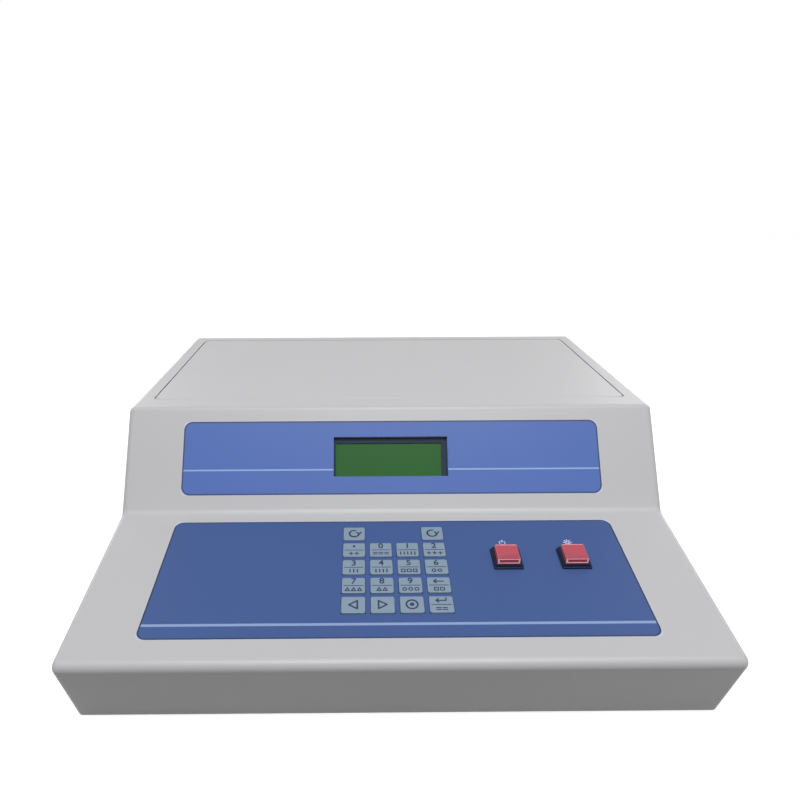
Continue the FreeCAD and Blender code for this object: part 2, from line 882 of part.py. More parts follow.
def build_inlet():
    face = "panel_out_y + inlet_flange"
    body = node("mains_inlet")
    box(
        body, "inlet_flange", middle("inlet_flange_width", "inlet_x"), "panel_out_y",
        middle("inlet_flange_height", "inlet_z"), "inlet_flange_width", "inlet_flange", "inlet_flange_height",
    )
    box(
        body, "inlet_block", middle("inlet_body_width", "inlet_x"), "panel_out_y - inlet_body_depth",
        middle("inlet_body_height", "inlet_z"), "inlet_body_width", "inlet_body_depth", "inlet_body_height",
    )
    cut_box(
        body, "plug_socket", middle("socket_width", "inlet_x"), f"{face} - socket_depth",
        middle("socket_height", "inlet_z + socket_rise"), "socket_width", "2 * socket_depth", "socket_height",
    )
    width = "drawer_width + 2 * drawer_clearance"
    height = "drawer_height + 2 * drawer_clearance"
    cut_box(
        body, "drawer_way", middle(width, "inlet_x"), f"{face} - drawer_depth - drawer_clearance",
        middle(height, "inlet_z - drawer_drop"), width, "2 * drawer_depth", height,
    )
    for number in (-1, 0, 1):
        up = f"inlet_z + socket_rise + (abs({number}) - 0.5) * prong_drop"
        box(
            body, f"prong_{number + 1}", middle("prong_width", f"inlet_x + {number} * prong_pitch"),
            f"{face} - socket_depth - prong_width", middle("prong_height", up),
            "prong_width", "prong_length + prong_width", "prong_height",
        )
    drawer = node("fuse_drawer")
    box(
        drawer, "drawer_block", middle("drawer_width", "inlet_x"), f"{face} - drawer_depth",
        middle("drawer_height", "inlet_z - drawer_drop"), "drawer_width", "drawer_depth + drawer_lip",
        "drawer_height",
    )


def build_lid():
    body = node("lid")
    box(
        body, "lid_plate", middle("lid_width"), "lid_front_y", "lid_under_z",
        "lid_width", "lid_depth", "lid_thickness",
    )
    fillet(body, "lid_corners", "lid_corner", upright)
    top = body.Tip.Shape.BoundBox.ZMax
    fillet(body, "lid_edges", "lid_edge", lambda edge: at_height(edge, top))
    inset = "ledge_width + lid_rim_gap"
    width = f"lid_width - 2 * ({inset})"
    start = f"lid_front_y + {inset}"
    depth = f"pivot_y - ear_radius - ear_gap - ({start})"
    box(body, "lid_rim", middle(width), start, "lid_under_z - lid_rim_height", width, depth, "lid_rim_height")
    inner_width = f"{width} - 2 * lid_rim_width"
    cut_box(
        body, "lid_rim_hollow", middle(inner_width), f"{start} + lid_rim_width",
        "lid_under_z - 2 * lid_rim_height", inner_width, f"{depth} - 2 * lid_rim_width", "2 * lid_rim_height",
    )
    for side in (-1, 1):
        start_x = middle("ear_width", f"{side} * (ear_x + ear_width / 2)")
        box(
            body, f"ear_block_{side + 1}", start_x, "pivot_y - ear_radius", "pivot_z",
            "ear_width", "2 * ear_radius", "lid_under_z - pivot_z",
        )
        rod(body, f"ear_round_{side + 1}", start_x, "pivot_y", "pivot_z", "ear_radius", "ear_width", "x")
        hole(
            body, f"ear_bore_{side + 1}", start_x, "pivot_y", "pivot_z",
            "pin_radius + pin_clearance", "ear_width", "x",
        )


def build_hinge_pins():
    solids = []
    length = "opening_width / 2 + tray_wall + pin_end - ear_x"
    for side in (-1, 1):
        start = middle(length, f"{side} * (ear_x + ({length}) / 2)")
        rod(solids, f"hinge_pin_{side + 1}", start, "pivot_y", "pivot_z", "pin_radius", length, "x")
    nodes.append(group("lid_hinge_pins", solids))


def edge_strip(solids, name, width, z, height):
    """A strip along the front and both sides of the lid's opening, up to the hinge."""
    start_y = "opening_front_y"
    box(solids, name + "_front", middle("opening_width"), start_y, z, "opening_width", width, height)
    for side in (-1, 1):
        start = middle(width, f"{side} * (opening_width - {width}) / 2")
        box(solids, f"{name}_side_{side + 1}", start, start_y, z, width, "ledge_length", height)


def build_seal():
    solids = []
    edge_strip(solids, "seal", "seal_width", "ledge_z", "seal_thickness")
    nodes.append(join("lid_seal", solids))


def build_tray():
    """The moulded compartment under the lid, with the well that the light crosses."""
    body = plain_body("tray_shell")
    width = "opening_width + 2 * tray_wall"
    depth = "opening_depth + 2 * tray_wall"
    box(
        body, "tray_block", middle(width), "opening_front_y - tray_wall", "under_tray_z",
        width, depth, "tray_depth - wall + tray_wall",
    )
    width = "opening_width + 2 * tray_flange"
    depth = "opening_depth + 2 * tray_flange"
    box(
        body, "tray_flange_sheet", middle(width), "opening_front_y - tray_flange", "top_z - wall - tray_wall",
        width, depth, "tray_wall",
    )
    length = "well_length + 2 * tray_wall"
    width = "well_width + 2 * tray_wall"
    box(
        body, "well_block", middle(length, "well_x"), middle(width, "port_y"), "well_z - tray_wall",
        length, width, "well_depth + tray_wall",
    )
    cut_box(
        body, "compartment", middle("opening_width"), "opening_front_y", "floor_z",
        "opening_width", "opening_depth", "tray_depth",
    )
    cut_box(
        body, "well", middle("well_length", "well_x"), middle("well_width", "port_y"), "well_z",
        "well_length", "well_width", "well_depth + tray_wall",
    )
    solids = []
    edge_strip(solids, "ledge", "ledge_width", "ledge_z - ledge_thickness", "ledge_thickness")
    rod(
        solids, "tile_collar", "tile_x", "port_y", "floor_z - tray_wall / 2",
        "tile_radius + tile_clearance + tile_rim", "tile_rim_height + tray_wall / 2",
    )
    holes = []
    rod(holes, "tile_recess", "tile_x", "port_y", "floor_z", "tile_radius + tile_clearance", "tray_depth")
    start = "under_tray_z - tray_wall"
    rod(holes, "port_seat", "port_x", "port_y", start, "port_seat_radius", "3 * tray_wall")
    start = "well_x - well_length / 2 - 2 * tray_wall"
    length = "well_length + 4 * tray_wall"
    rod(holes, "beam_way", start, "port_y", "sphere_z", "beam_radius", length, "x")
    for side in (-1, 1):
        start = middle("4 * tray_wall", f"{side} * (opening_width / 2 + tray_wall / 2)")
        rod(holes, f"pin_hole_{side + 1}", start, "pivot_y", "pivot_z", "pin_radius", "4 * tray_wall", "x")
    nodes.append(cut("sample_tray", join("tray_with_ledge", [body] + solids), holes))


def build_port_ring():
    body = node("port_ring")
    rod(body, "ring_flange", "port_x", "port_y", "floor_z", "port_flange_radius", "port_flange")
    radius = "port_seat_radius - seat_clearance"
    rod(body, "ring_body", "port_x", "port_y", "under_tray_z", radius, "tray_wall")
    hole(body, "aperture", "port_x", "port_y", "under_tray_z", "port_radius", "tray_wall + port_flange")


def build_tile():
    body = node("white_tile")
    rod(body, "tile_disc", "tile_x", "port_y", "floor_z", "tile_radius", "tile_thickness")


def build_cell_holder():
    body = node("cell_holder")
    start_x = middle("cell_base_length", "well_x")
    box(
        body, "holder_base", start_x, middle("cell_base_width", "port_y"), "well_z",
        "cell_base_length", "cell_base_width", "cell_base_thickness",
    )
    gap = "cell_size + 2 * cell_clearance"
    for side in (-1, 1):
        box(
            body, f"jaw_{side + 1}", start_x,
            middle("cell_jaw", f"port_y + {side} * ({gap} + cell_jaw) / 2"), "well_z",
            "cell_base_length", "cell_jaw", "cell_jaw_height",
        )


def build_press():
    """The sample press: an arm that swings on its post and a foot that lifts in the arm."""
    post = node("press_post")
    rod(post, "post_column", "port_x", "post_y", "floor_z", "post_radius", "post_height")
    rod(post, "post_pin", "port_x", "post_y", "floor_z", "post_pin_radius", "post_height + post_pin_height")
    arm = node("press_arm")
    rod(arm, "arm_hub", "port_x", "post_y", "arm_z", "arm_hub_radius", "arm_thickness")
    box(
        arm, "arm_bar", middle("arm_width", "port_x"), "port_y", "arm_z",
        "arm_width", "press_reach", "arm_thickness",
    )
    rod(arm, "arm_guide", "port_x", "port_y", "arm_z", "arm_hub_radius", "arm_thickness")
    for name, across, radius in (("pivot", "post_y", "post_pin_radius"), ("guide", "port_y", "stem_radius")):
        hole(arm, f"{name}_bore", "port_x", across, "arm_z", f"{radius} + pin_clearance", "arm_thickness")
    foot = node("press_foot")
    foot_z = "ring_top_z + foot_gap"
    rod(foot, "foot_disc", "port_x", "port_y", foot_z, "foot_radius", "foot_thickness")
    rod(foot, "foot_stem", "port_x", "port_y", foot_z, "stem_radius", f"knob_z - ({foot_z})")
    rod(foot, "foot_knob", "port_x", "port_y", "knob_z", "knob_radius", "knob_thickness")


def sphere(body, name, x, radius, kind="Additive"):
    return primitive(body, kind + "Sphere", name, (x, "port_y", "sphere_z"), Radius=radius)


def build_sphere():
    """The white-lined sphere in two pieces, parted above the light's way in and out."""
    reach = "2 * sphere_radius + 4 * sphere_flange"
    start = f"port_x - ({reach}) / 2"
    cap = node("sphere_cap")
    sphere(cap, "cap_outside", "port_x", "sphere_radius")
    cut_box(
        cap, "cap_below", start, middle(reach, "port_y"), "split_z - 2 * sphere_radius",
        reach, reach, "2 * sphere_radius",
    )
    flange_radius = "sphere_radius + sphere_flange"
    rod(cap, "cap_flange", "port_x", "port_y", "split_z", flange_radius, "sphere_flange_thickness")
    neck_start = "sphere_z + sphere_radius - 3 * sphere_neck"
    rod(cap, "cap_neck", "port_x", "port_y", neck_start, "port_radius + 2 * neck_wall", "4 * sphere_neck")
    sphere(cap, "cap_inside", "port_x", "sphere_radius - sphere_wall", "Subtractive")
    hole(cap, "cap_port", "port_x", "port_y", "sphere_z", "port_radius", "2 * sphere_radius")

    body = node("sphere_body")
    sphere(body, "body_outside", "port_x", "sphere_radius")
    cut_box(body, "body_above", start, middle(reach, "port_y"), "split_z", reach, reach, "2 * sphere_radius")
    flange_z = "split_z - sphere_flange_thickness"
    rod(body, "body_flange", "port_x", "port_y", flange_z, flange_radius, "sphere_flange_thickness")
    rod(
        body, "body_stand", "port_x", "port_y", "base_top_z",
        "stand_radius", "sphere_z - sphere_radius / 2 - base_top_z",
    )
    inlet_x = "well_x + well_length / 2 + tray_wall"
    inlet_length = f"port_x - sphere_radius / 2 - ({inlet_x})"
    rod(body, "light_inlet", inlet_x, "port_y", "sphere_z", "beam_radius + neck_wall", inlet_length, "x")
    width = "2 * (filter_pitch + filter_radius)"
    height = "2 * (filter_radius + sphere_wall / 2)"
    outlet_x = "port_x + sphere_radius / 2"
    box(
        body, "light_outlet", outlet_x, middle(f"{width} + 2 * neck_wall", "port_y"),
        middle(f"{height} + 2 * neck_wall", "sphere_z"), f"detector_x - ({outlet_x})",
        f"{width} + 2 * neck_wall", f"{height} + 2 * neck_wall",
    )
    sphere(body, "body_inside", "port_x", "sphere_radius - sphere_wall", "Subtractive")
    hole(body, "inlet_bore", inlet_x, "port_y", "sphere_z", "beam_radius", inlet_length, "x")
    cut_box(
        body, "outlet_bore", outlet_x, middle(width, "port_y"), middle(height, "sphere_z"),
        f"detector_x - ({outlet_x})", width, height,
    )


def build_lamp():
    housing = node("lamp_housing")
    start_x = "lamp_front_x - lamp_box_length"
    height = "sphere_z + lamp_box_top - base_top_z"
    box(
        housing, "lamp_box", start_x, middle("lamp_box_width", "port_y"), "base_top_z",
        "lamp_box_length", "lamp_box_width", height,
    )
    rod(
        housing, "lens_barrel", "lamp_front_x", "port_y", "sphere_z",
        "lens_radius + barrel_wall", "barrel_length", "x",
    )
    cut_box(
        housing, "lamp_room", f"{start_x} + lamp_box_wall",
        middle("lamp_box_width - 2 * lamp_box_wall", "port_y"), "base_top_z + lamp_box_wall",
        "lamp_box_length - 2 * lamp_box_wall", "lamp_box_width - 2 * lamp_box_wall", height,
    )
    hole(
        housing, "barrel_bore", "lamp_front_x - 2 * lamp_box_wall", "port_y", "sphere_z",
        "lens_radius", "barrel_length + 2 * lamp_box_wall", "x",
    )
    lamp = node("halogen_lamp")
    socket_z = "base_top_z + lamp_box_wall"
    rod(
        lamp, "lamp_socket", "lamp_x", "port_y", socket_z,
        "socket_radius", f"sphere_z - bulb_length - ({socket_z})",
    )
    rod(lamp, "bulb_tube", "lamp_x", "port_y", "sphere_z - bulb_length", "bulb_radius", "bulb_length")
    sphere(lamp, "bulb_end", "lamp_x", "bulb_radius")
    solids = []
    centre = "lamp_front_x + lens_place"
    offset = "sqrt(lens_curve ^ 2 - lens_radius ^ 2) - lens_edge / 2"
    sphere(solids, "lens_front", f"{centre} + {offset}", "lens_curve")
    sphere(solids, "lens_back", f"{centre} - ({offset})", "lens_curve")
    start = f"{centre} - lens_radius"
    rod(solids, "lens_rim", start, "port_y", "sphere_z", "lens_radius", "2 * lens_radius", "x")
    lens = doc.addObject("Part::MultiCommon", "condenser_lens")
    lens.Shapes = solids
    nodes.append(named(lens, "condenser_lens"))


def build_detector():
    """The three-colour detector: filters in the front wall, photocells on the board that closes the back."""
    housing = node("detector_housing")
    box(
        housing, "detector_block", "detector_x", middle("detector_width", "port_y"),
        middle("detector_height", "sphere_z"), "detector_length", "detector_width", "detector_height",
    )
    box(
        housing, "detector_stand", "detector_x", middle("detector_width", "port_y"), "base_top_z",
        "detector_wall", "detector_width", "sphere_z - base_top_z",
    )
    cut_box(
        housing, "detector_room", "detector_x + detector_front",
        middle("detector_width - 2 * detector_wall", "port_y"),
        middle("detector_height - 2 * detector_wall", "sphere_z"), "detector_length",
        "detector_width - 2 * detector_wall", "detector_height - 2 * detector_wall",
    )
    filters = []
    board = node("photocell_board")
    box(
        board, "photocell_sheet", "detector_end_x", middle("detector_width", "port_y"),
        middle("detector_height", "sphere_z"), "board_thickness", "detector_width", "detector_height",
    )
    for number in (-1, 0, 1):
        across = f"port_y + {number} * filter_pitch"
        hole(
            housing, f"filter_seat_{number + 1}", "detector_x", across, "sphere_z",
            "filter_radius", "detector_front", "x",
        )
        rod(
            filters, f"filter_{number + 1}", "detector_x + detector_front - filter_thickness", across,
            "sphere_z", "filter_radius", "filter_thickness", "x",
        )
        rod(
            board, f"photocell_{number + 1}", "detector_end_x - cell_height", across, "sphere_z",
            "filter_radius - neck_wall / 2", "cell_height", "x",
        )
    nodes.append(group("color_filters", filters))


def build_fan():
    frame = node("fan_frame")
    box(
        frame, "fan_block", middle("fan_size", "fan_x"), "fan_front_y", middle("fan_size", "fan_z"),
        "fan_size", "fan_depth", "fan_size",
    )
    hole(frame, "fan_way", "fan_x", "fan_front_y", "fan_z", "fan_bore", "fan_depth", "y")
    box(
        frame, "strut_across", middle("fan_size", "fan_x"), "fan_front_y", middle("fan_strut_width", "fan_z"),
        "fan_size", "fan_strut_thickness", "fan_strut_width",
    )
    box(
        frame, "strut_up", middle("fan_strut_width", "fan_x"), "fan_front_y", middle("fan_size", "fan_z"),
        "fan_strut_width", "fan_strut_thickness", "fan_size",
    )
    rod(frame, "motor_plate", "fan_x", "fan_front_y", "fan_z", "fan_hub_radius", "fan_strut_thickness", "y")
    hole(
        frame, "axle_bore", "fan_x", "fan_front_y", "fan_z",
        "fan_axle_radius + pin_clearance", "fan_strut_thickness", "y",
    )
    for number, (across, up) in enumerate(fan_screw_spots()):
        hole(
            frame, f"fan_pilot_{number}", across, "panel_in_y - screw_length", up,
            "screw_radius", "screw_length", "y",
        )
    rotor = node("fan_rotor")
    place(rotor, "fan_x", "fan_front_y + fan_strut_thickness", "fan_z")
    rod(rotor, "rotor_hub", 0, "fan_hub_gap", 0, "fan_hub_radius", "fan_hub_depth", "y")
    rod(
        rotor, "rotor_axle", 0, "-fan_axle_length", 0,
        "fan_axle_radius", "fan_axle_length + fan_hub_gap + fan_hub_depth / 2", "y",
    )
    turned = "fan_blade_tilt"
    half_thick = "fan_blade_thickness / 2"
    half_deep = "fan_blade_depth / 2"
    blade = box(
        rotor, "blade",
        f"-({half_thick} * cos({turned}) - {half_deep} * sin({turned}))",
        f"fan_hub_gap + fan_hub_depth / 2 - ({half_thick} * sin({turned}) + {half_deep} * cos({turned}))",
        "fan_hub_radius - fan_blade_thickness",
        "fan_blade_thickness", "fan_blade_depth", "fan_blade_radius - fan_hub_radius + fan_blade_thickness",
    )
    blade.Placement.Rotation = Rotation(Vector(0, 0, 1), 1)
    blade.setExpression(".Placement.Rotation.Angle", cell(turned))
    doc.recompute()
    blades = rotor.newObject("PartDesign::PolarPattern", "blades")
    blades.Originals = [blade]
    blades.Axis = ([item for item in rotor.Origin.OriginFeatures if item.Role == "Y_Axis"][0], [""])
    blades.Angle = 360
    bind(blades, Occurrences="fan_blades")
    rotor.Tip = blades


def build_transformer():
    core = node("transformer_core")
    window_height = "core_height - 2 * core_limb"
    box(
        core, "core_block", middle("core_width", "core_x"), middle("core_stack", "core_y"), "base_top_z",
        "core_width", "core_stack", "core_height",
    )
    leg = "core_width - 4 * core_limb"
    for side in (-1, 1):
        start = middle("core_limb", f"core_x + {side} * ({leg} + core_limb) / 2")
        cut_box(
            core, f"core_window_{side + 1}", start, middle("2 * core_stack", "core_y"),
            "base_top_z + core_limb", "core_limb", "2 * core_stack", window_height,
        )
    winding = node("transformer_winding")
    inner_x = f"{leg} + 2 * winding_gap"
    inner_y = "core_stack + 2 * winding_gap"
    outer_x = f"{inner_x} + 2 * winding_wall"
    outer_y = f"{inner_y} + 2 * winding_wall"
    start_z = "base_top_z + core_limb + winding_gap"
    height = f"{window_height} - 2 * winding_gap"
    box(
        winding, "winding_block", middle(outer_x, "core_x"), middle(outer_y, "core_y"), start_z,
        outer_x, outer_y, height,
    )
    cut_box(
        winding, "leg_way", middle(inner_x, "core_x"), middle(inner_y, "core_y"), start_z,
        inner_x, inner_y, height,
    )


def main_board_place():
    return "main_board_width", "main_board_depth", "0", "main_board_front + main_board_depth / 2"


def build_main_board():
    body = node("main_board")
    box(
        body, "main_sheet", middle("main_board_width"), "main_board_front", "board_z",
        "main_board_width", "main_board_depth", "board_thickness",
    )
    for number in range(4):
        box(
            body, f"chip_{number}", middle("chip_width", f"({number} - 1.5) * chip_pitch"),
            middle("chip_depth", "main_board_front + main_board_depth / 2"), "board_z",
            "chip_width", "chip_depth", "board_thickness + chip_height",
        )


def build_display():
    film = node("display_overlay", on="panel")
    film_sheet(film, "display", "film_thickness")
    cut_box(
        film, "display_film_window", middle("window_width", "window_x"), "window_start", "-wall",
        "window_width", "window_height", "2 * wall",
    )
    frame = node("lcd_frame", on="panel")
    box(
        frame, "lcd_frame_block", middle("lcd_frame_width", "view_x"), middle("lcd_frame_height", "lcd_y"),
        "lcd_board_top", "lcd_frame_width", "lcd_frame_height", "lcd_frame_depth",
    )
    width = "lcd_frame_width - 2 * lcd_frame_wall"
    height = "lcd_frame_height - 2 * lcd_frame_wall"
    cut_box(
        frame, "lcd_frame_room", middle(width, "view_x"), middle(height, "lcd_y"),
        "lcd_board_top - lcd_frame_wall", width, height, "lcd_frame_depth",
    )
    cut_box(
        frame, "lcd_frame_window", middle("view_width", "view_x"), "view_start", "-lcd_frame_depth",
        "view_width", "view_height", "2 * lcd_frame_depth",
    )
    glass = node("lcd_glass", on="panel")
    width = "view_width + 2 * glass_margin"
    height = "view_height + 2 * glass_margin"
    box(
        glass, "glass_sheet", middle(width, "view_x"), middle(height, "lcd_y"),
        "lcd_front - lcd_frame_wall - glass_thickness", width, height, "glass_thickness",
    )
    board = node("lcd_board", on="panel")
    box(
        board, "lcd_board_sheet", middle("lcd_board_width", "view_x"), middle("lcd_board_height", "lcd_y"),
        "lcd_board_top - board_thickness", "lcd_board_width", "lcd_board_height", "board_thickness",
    )


def build_keypad():
    film = plain_body("keypad_film", on="deck")
    film_sheet(film, "keypad", "film_thickness")
    nodes.append(cut("keypad_overlay", film, key_openings()))
    solids = []
    box(
        solids, "keypad_sheet", middle("keypad_board_width", "keys_x"), "keypad_board_start",
        "keypad_board_top - board_thickness", "keypad_board_width", "keypad_board_height", "board_thickness",
        on="deck",
    )
    for column, row in key_spots:
        across, up = key_centre(column, row)
        box(
            solids, f"dome_{column}_{row}", middle("dome_size", across), middle("dome_size", up),
            "keypad_board_top - board_thickness / 2", "dome_size", "dome_size",
            "dome_height + board_thickness / 2", on="deck",
        )
    nodes.append(join("keypad_board", solids))


key_names = dict(zip(key_spots, (
    "key_previous", "key_next", "key_measure", "key_enter",
    "key_7", "key_8", "key_9", "key_back",
    "key_3", "key_4", "key_5", "key_6",
    "key_point", "key_0", "key_1", "key_2",
    "key_reset_left", "key_reset_right",
)))


def build_key(column, row):
    name = key_names[column, row]
    across, up = key_centre(column, row)
    body = node(name, on="deck")
    under = "-(wall + key_rest_gap)"
    box(
        body, name + "_cap", middle("key_width", across), middle("key_height", up), under,
        "key_width", "key_height", f"key_proud - ({under})",
    )
    fillet(body, name + "_corners", "key_corner", upright)
    top = body.Tip.Shape.BoundBox.ZMax
    fillet(body, name + "_edge", "key_edge", lambda edge: at_height(edge, top))
    width = "key_width + 2 * key_flange"
    height = "key_height + 2 * key_flange"
    box(
        body, name + "_flange", middle(width, across), middle(height, up), f"{under} - key_flange_thickness",
        width, height, "key_flange_thickness",
    )


def build_switch(name, across):
    """A square push button: its bezel, collar and barrel in one, and the cap that travels in it."""
    body = node(f"{name}_switch", on="deck")
    box(
        body, f"{name}_barrel", middle("collar_size", across), middle("collar_size", "switch_y"),
        "-barrel_depth", "collar_size", "collar_size", "barrel_depth + collar_height",
    )
    box(
        body, f"{name}_bezel", middle("bezel_size", across), middle("bezel_size", "switch_y"), 0,
        "bezel_size", "bezel_size", "bezel_thickness",
    )
    fillet(body, f"{name}_bezel_corners", "cap_corner", upright)
    room = "cap_size + 2 * cap_clearance"
    room_depth = "cap_depth + cap_travel + cap_clearance"
    cut_box(
        body, f"{name}_room", middle(room, across), middle(room, "switch_y"), f"-({room_depth})",
        room, room, f"{room_depth} + 2 * collar_height",
    )
    cap = node(f"{name}_button", on="deck")
    box(
        cap, f"{name}_cap", middle("cap_size", across), middle("cap_size", "switch_y"), "-cap_depth",
        "cap_size", "cap_size", "cap_depth + cap_height",
    )
    fillet(cap, f"{name}_cap_corners", "cap_corner", upright)
    top = cap.Tip.Shape.BoundBox.ZMax
    fillet(cap, f"{name}_cap_edge", "cap_edge", lambda edge: at_height(edge, top))


build_housing()
build_base()
build_feet()
build_screws()
build_rear_panel()
build_port("serial")
build_port("printer")
build_inlet()
build_lid()
build_hinge_pins()
build_seal()
build_tray()
build_port_ring()
build_tile()
build_cell_holder()
build_press()
build_sphere()
build_lamp()
build_detector()
build_fan()
build_transformer()
build_main_board()
build_display()
build_keypad()
for spot in key_spots:
    build_key(*spot)
for switch, across_deck in switch_spots.items():
    build_switch(switch, across_deck)
doc.recompute()

failed = [item.Label for item in doc.Objects if "Invalid" in item.State or "Error" in item.State]
for piece in nodes:
    if piece.Shape.isNull() or not piece.Shape.isValid():
        failed.append(piece.Label)
if failed:
    raise ValueError("failed: " + ", ".join(failed))
os.makedirs("parts", exist_ok=True)
for piece in nodes:
    piece.Shape.exportStep(f"parts/{piece.Label}.step")
    print(piece.Label, len(piece.Shape.Solids), round(piece.Shape.Volume))
print(len(nodes), "pieces")
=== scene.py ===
import json
import math

import bpy
from mathutils import Matrix, Vector


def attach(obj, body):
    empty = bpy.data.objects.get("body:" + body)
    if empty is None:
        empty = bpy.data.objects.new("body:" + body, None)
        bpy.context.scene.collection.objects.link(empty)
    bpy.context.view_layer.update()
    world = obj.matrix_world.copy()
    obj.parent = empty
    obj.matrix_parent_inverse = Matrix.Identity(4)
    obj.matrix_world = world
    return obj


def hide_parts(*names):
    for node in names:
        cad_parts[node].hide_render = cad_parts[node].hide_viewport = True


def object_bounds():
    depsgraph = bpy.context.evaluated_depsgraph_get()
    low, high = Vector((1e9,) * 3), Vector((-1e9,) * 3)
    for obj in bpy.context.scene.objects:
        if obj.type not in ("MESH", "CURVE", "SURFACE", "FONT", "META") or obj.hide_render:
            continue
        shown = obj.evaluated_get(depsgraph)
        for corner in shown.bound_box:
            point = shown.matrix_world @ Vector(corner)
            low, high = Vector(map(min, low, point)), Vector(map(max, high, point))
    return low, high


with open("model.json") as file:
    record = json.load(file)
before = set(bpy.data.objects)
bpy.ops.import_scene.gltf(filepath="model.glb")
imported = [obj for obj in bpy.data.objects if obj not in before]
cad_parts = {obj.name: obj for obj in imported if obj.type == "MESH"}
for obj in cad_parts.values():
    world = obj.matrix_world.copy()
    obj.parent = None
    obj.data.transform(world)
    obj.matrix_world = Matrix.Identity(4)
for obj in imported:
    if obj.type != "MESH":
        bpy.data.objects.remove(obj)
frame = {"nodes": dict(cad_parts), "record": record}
nodes = frame["nodes"]
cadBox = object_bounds()
print("frame loaded:", len(nodes), "nodes")

mm = 0.001
console = "console"

# The keyboard deck and the display panel slope up towards the back.
slopes = {"deck": 10.55, "panel": 58}
deckTurn = Matrix.Rotation(math.radians(slopes["deck"]), 4, "X")
panelTurn = Matrix.Rotation(math.radians(slopes["panel"]), 4, "X")
noTurn = Matrix.Identity(4)


def turnedBox(name, turn=noTurn):
    # lowest and highest corner of a node, measured along a sloping face
    back = turn.inverted()
    points = [back @ vertex.co for vertex in nodes[name].data.vertices]
    low = Vector([min(point[i] for point in points) for i in range(3)])
    high = Vector([max(point[i] for point in points) for i in range(3)])
    return low, high


# Operators act on what is selected, so every piece is picked alone first.
def pick(piece):
    if bpy.context.mode != "OBJECT":
        bpy.ops.object.mode_set(mode="OBJECT")
    bpy.ops.object.select_all(action="DESELECT")
    piece.select_set(True)
    bpy.context.view_layer.objects.active = piece


def pickFaces(piece, wanted):
    pick(piece)
    bpy.ops.object.mode_set(mode="EDIT")
    bpy.ops.mesh.select_mode(type="FACE")
    bpy.ops.mesh.select_all(action="DESELECT")
    bpy.ops.object.mode_set(mode="OBJECT")
    for face in piece.data.polygons:
        face.select = wanted(face)
    bpy.ops.object.mode_set(mode="EDIT")


def pickEdges(piece, wanted):
    pick(piece)
    bpy.ops.object.mode_set(mode="EDIT")
    bpy.ops.mesh.select_mode(type="EDGE")
    bpy.ops.mesh.select_all(action="DESELECT")
    bpy.ops.object.mode_set(mode="OBJECT")
    for edge in piece.data.edges:
        ends = [piece.data.vertices[i].co for i in edge.vertices]
        edge.select = wanted(*ends)
    bpy.ops.object.mode_set(mode="EDIT")


def block(name, low, high):
    # a box between two corners, with its place in its mesh
    size = Vector(high) - Vector(low)
    bpy.ops.mesh.primitive_cube_add(size=1, location=(Vector(low) + Vector(high)) / 2)
    piece = bpy.context.object
    piece.name = name
    piece.scale = size
    bpy.ops.object.transform_apply(location=True, rotation=True, scale=True)
    return piece


def roller(name, base, radius, height, sides=48, axis="Z"):
    # a cylinder from the middle of its first end
    turn = {"X": (0, math.pi / 2, 0), "Y": (-math.pi / 2, 0, 0), "Z": (0, 0, 0)}[axis]
    along = {"X": Vector((1, 0, 0)), "Y": Vector((0, 1, 0)), "Z": Vector((0, 0, 1))}[axis]
    bpy.ops.mesh.primitive_cylinder_add(
        vertices=sides, radius=radius, depth=height, location=Vector(base) + along * height / 2, rotation=turn
    )
    piece = bpy.context.object
    piece.name = name
    bpy.ops.object.transform_apply(location=True, rotation=True, scale=True)
    return piece


# The round pieces are turned: a line of (radius, height) points is spun once about Z.
def turned(name, profile, base=(0, 0, 0), axis="Z", closed=False, steps=48):
    bpy.ops.object.select_all(action="DESELECT")
    bpy.ops.mesh.primitive_plane_add(size=mm, location=(0, 0, 0))
    piece = bpy.context.object
    piece.name = name
    bpy.ops.object.mode_set(mode="EDIT")
    bpy.ops.mesh.select_mode(type="VERT")
    bpy.ops.mesh.select_all(action="SELECT")
    bpy.ops.mesh.merge(type="CENTER")
    bpy.ops.transform.translate(value=(profile[0][0], 0, profile[0][1]))
    points = list(profile) + ([profile[0]] if closed else [])
    for (radius, height), (nextRadius, nextHeight) in zip(points, points[1:]):
        move = (nextRadius - radius, 0, nextHeight - height)
        bpy.ops.mesh.extrude_vertices_move(TRANSFORM_OT_translate={"value": move})
    bpy.ops.mesh.select_all(action="SELECT")
    bpy.ops.mesh.spin(steps=steps, angle=2 * math.pi, center=(0, 0, 0), axis=(0, 0, 1))
    bpy.ops.mesh.select_all(action="SELECT")
    bpy.ops.mesh.remove_doubles(threshold=0.001 * mm)
    bpy.ops.mesh.normals_make_consistent(inside=False)
    bpy.ops.object.mode_set(mode="OBJECT")
    piece.rotation_euler = {"X": (0, math.pi / 2, 0), "Y": (-math.pi / 2, 0, 0), "Z": (0, 0, 0)}[axis]
    piece.location = base
    pick(piece)
    bpy.ops.object.transform_apply(location=True, rotation=True, scale=True)
    return piece


def roundEdges(piece, width, segments=3, angle=30):
    pick(piece)
    bevel = piece.modifiers.new("edges", "BEVEL")
    bevel.width = width
    bevel.segments = segments
    bevel.limit_method = "ANGLE"
    bevel.angle_limit = math.radians(angle)
    bpy.ops.object.modifier_apply(modifier=bevel.name)


def combine(piece, other, operation):
    pick(piece)
    change = piece.modifiers.new("combine", "BOOLEAN")
    change.operation = operation
    change.object = other
    change.solver = "EXACT"
    bpy.ops.object.modifier_apply(modifier=change.name)
    bpy.data.objects.remove(other)


def carve(piece, tool):
    combine(piece, tool, "DIFFERENCE")


def weld(piece, other):
    combine(piece, other, "UNION")


def merged(name, parts):
    # several separate shells kept as one piece
    pick(parts[0])
    for part in parts[1:]:
        part.select_set(True)
    if len(parts) > 1:
        bpy.ops.object.join()
    parts[0].name = name
    return parts[0]


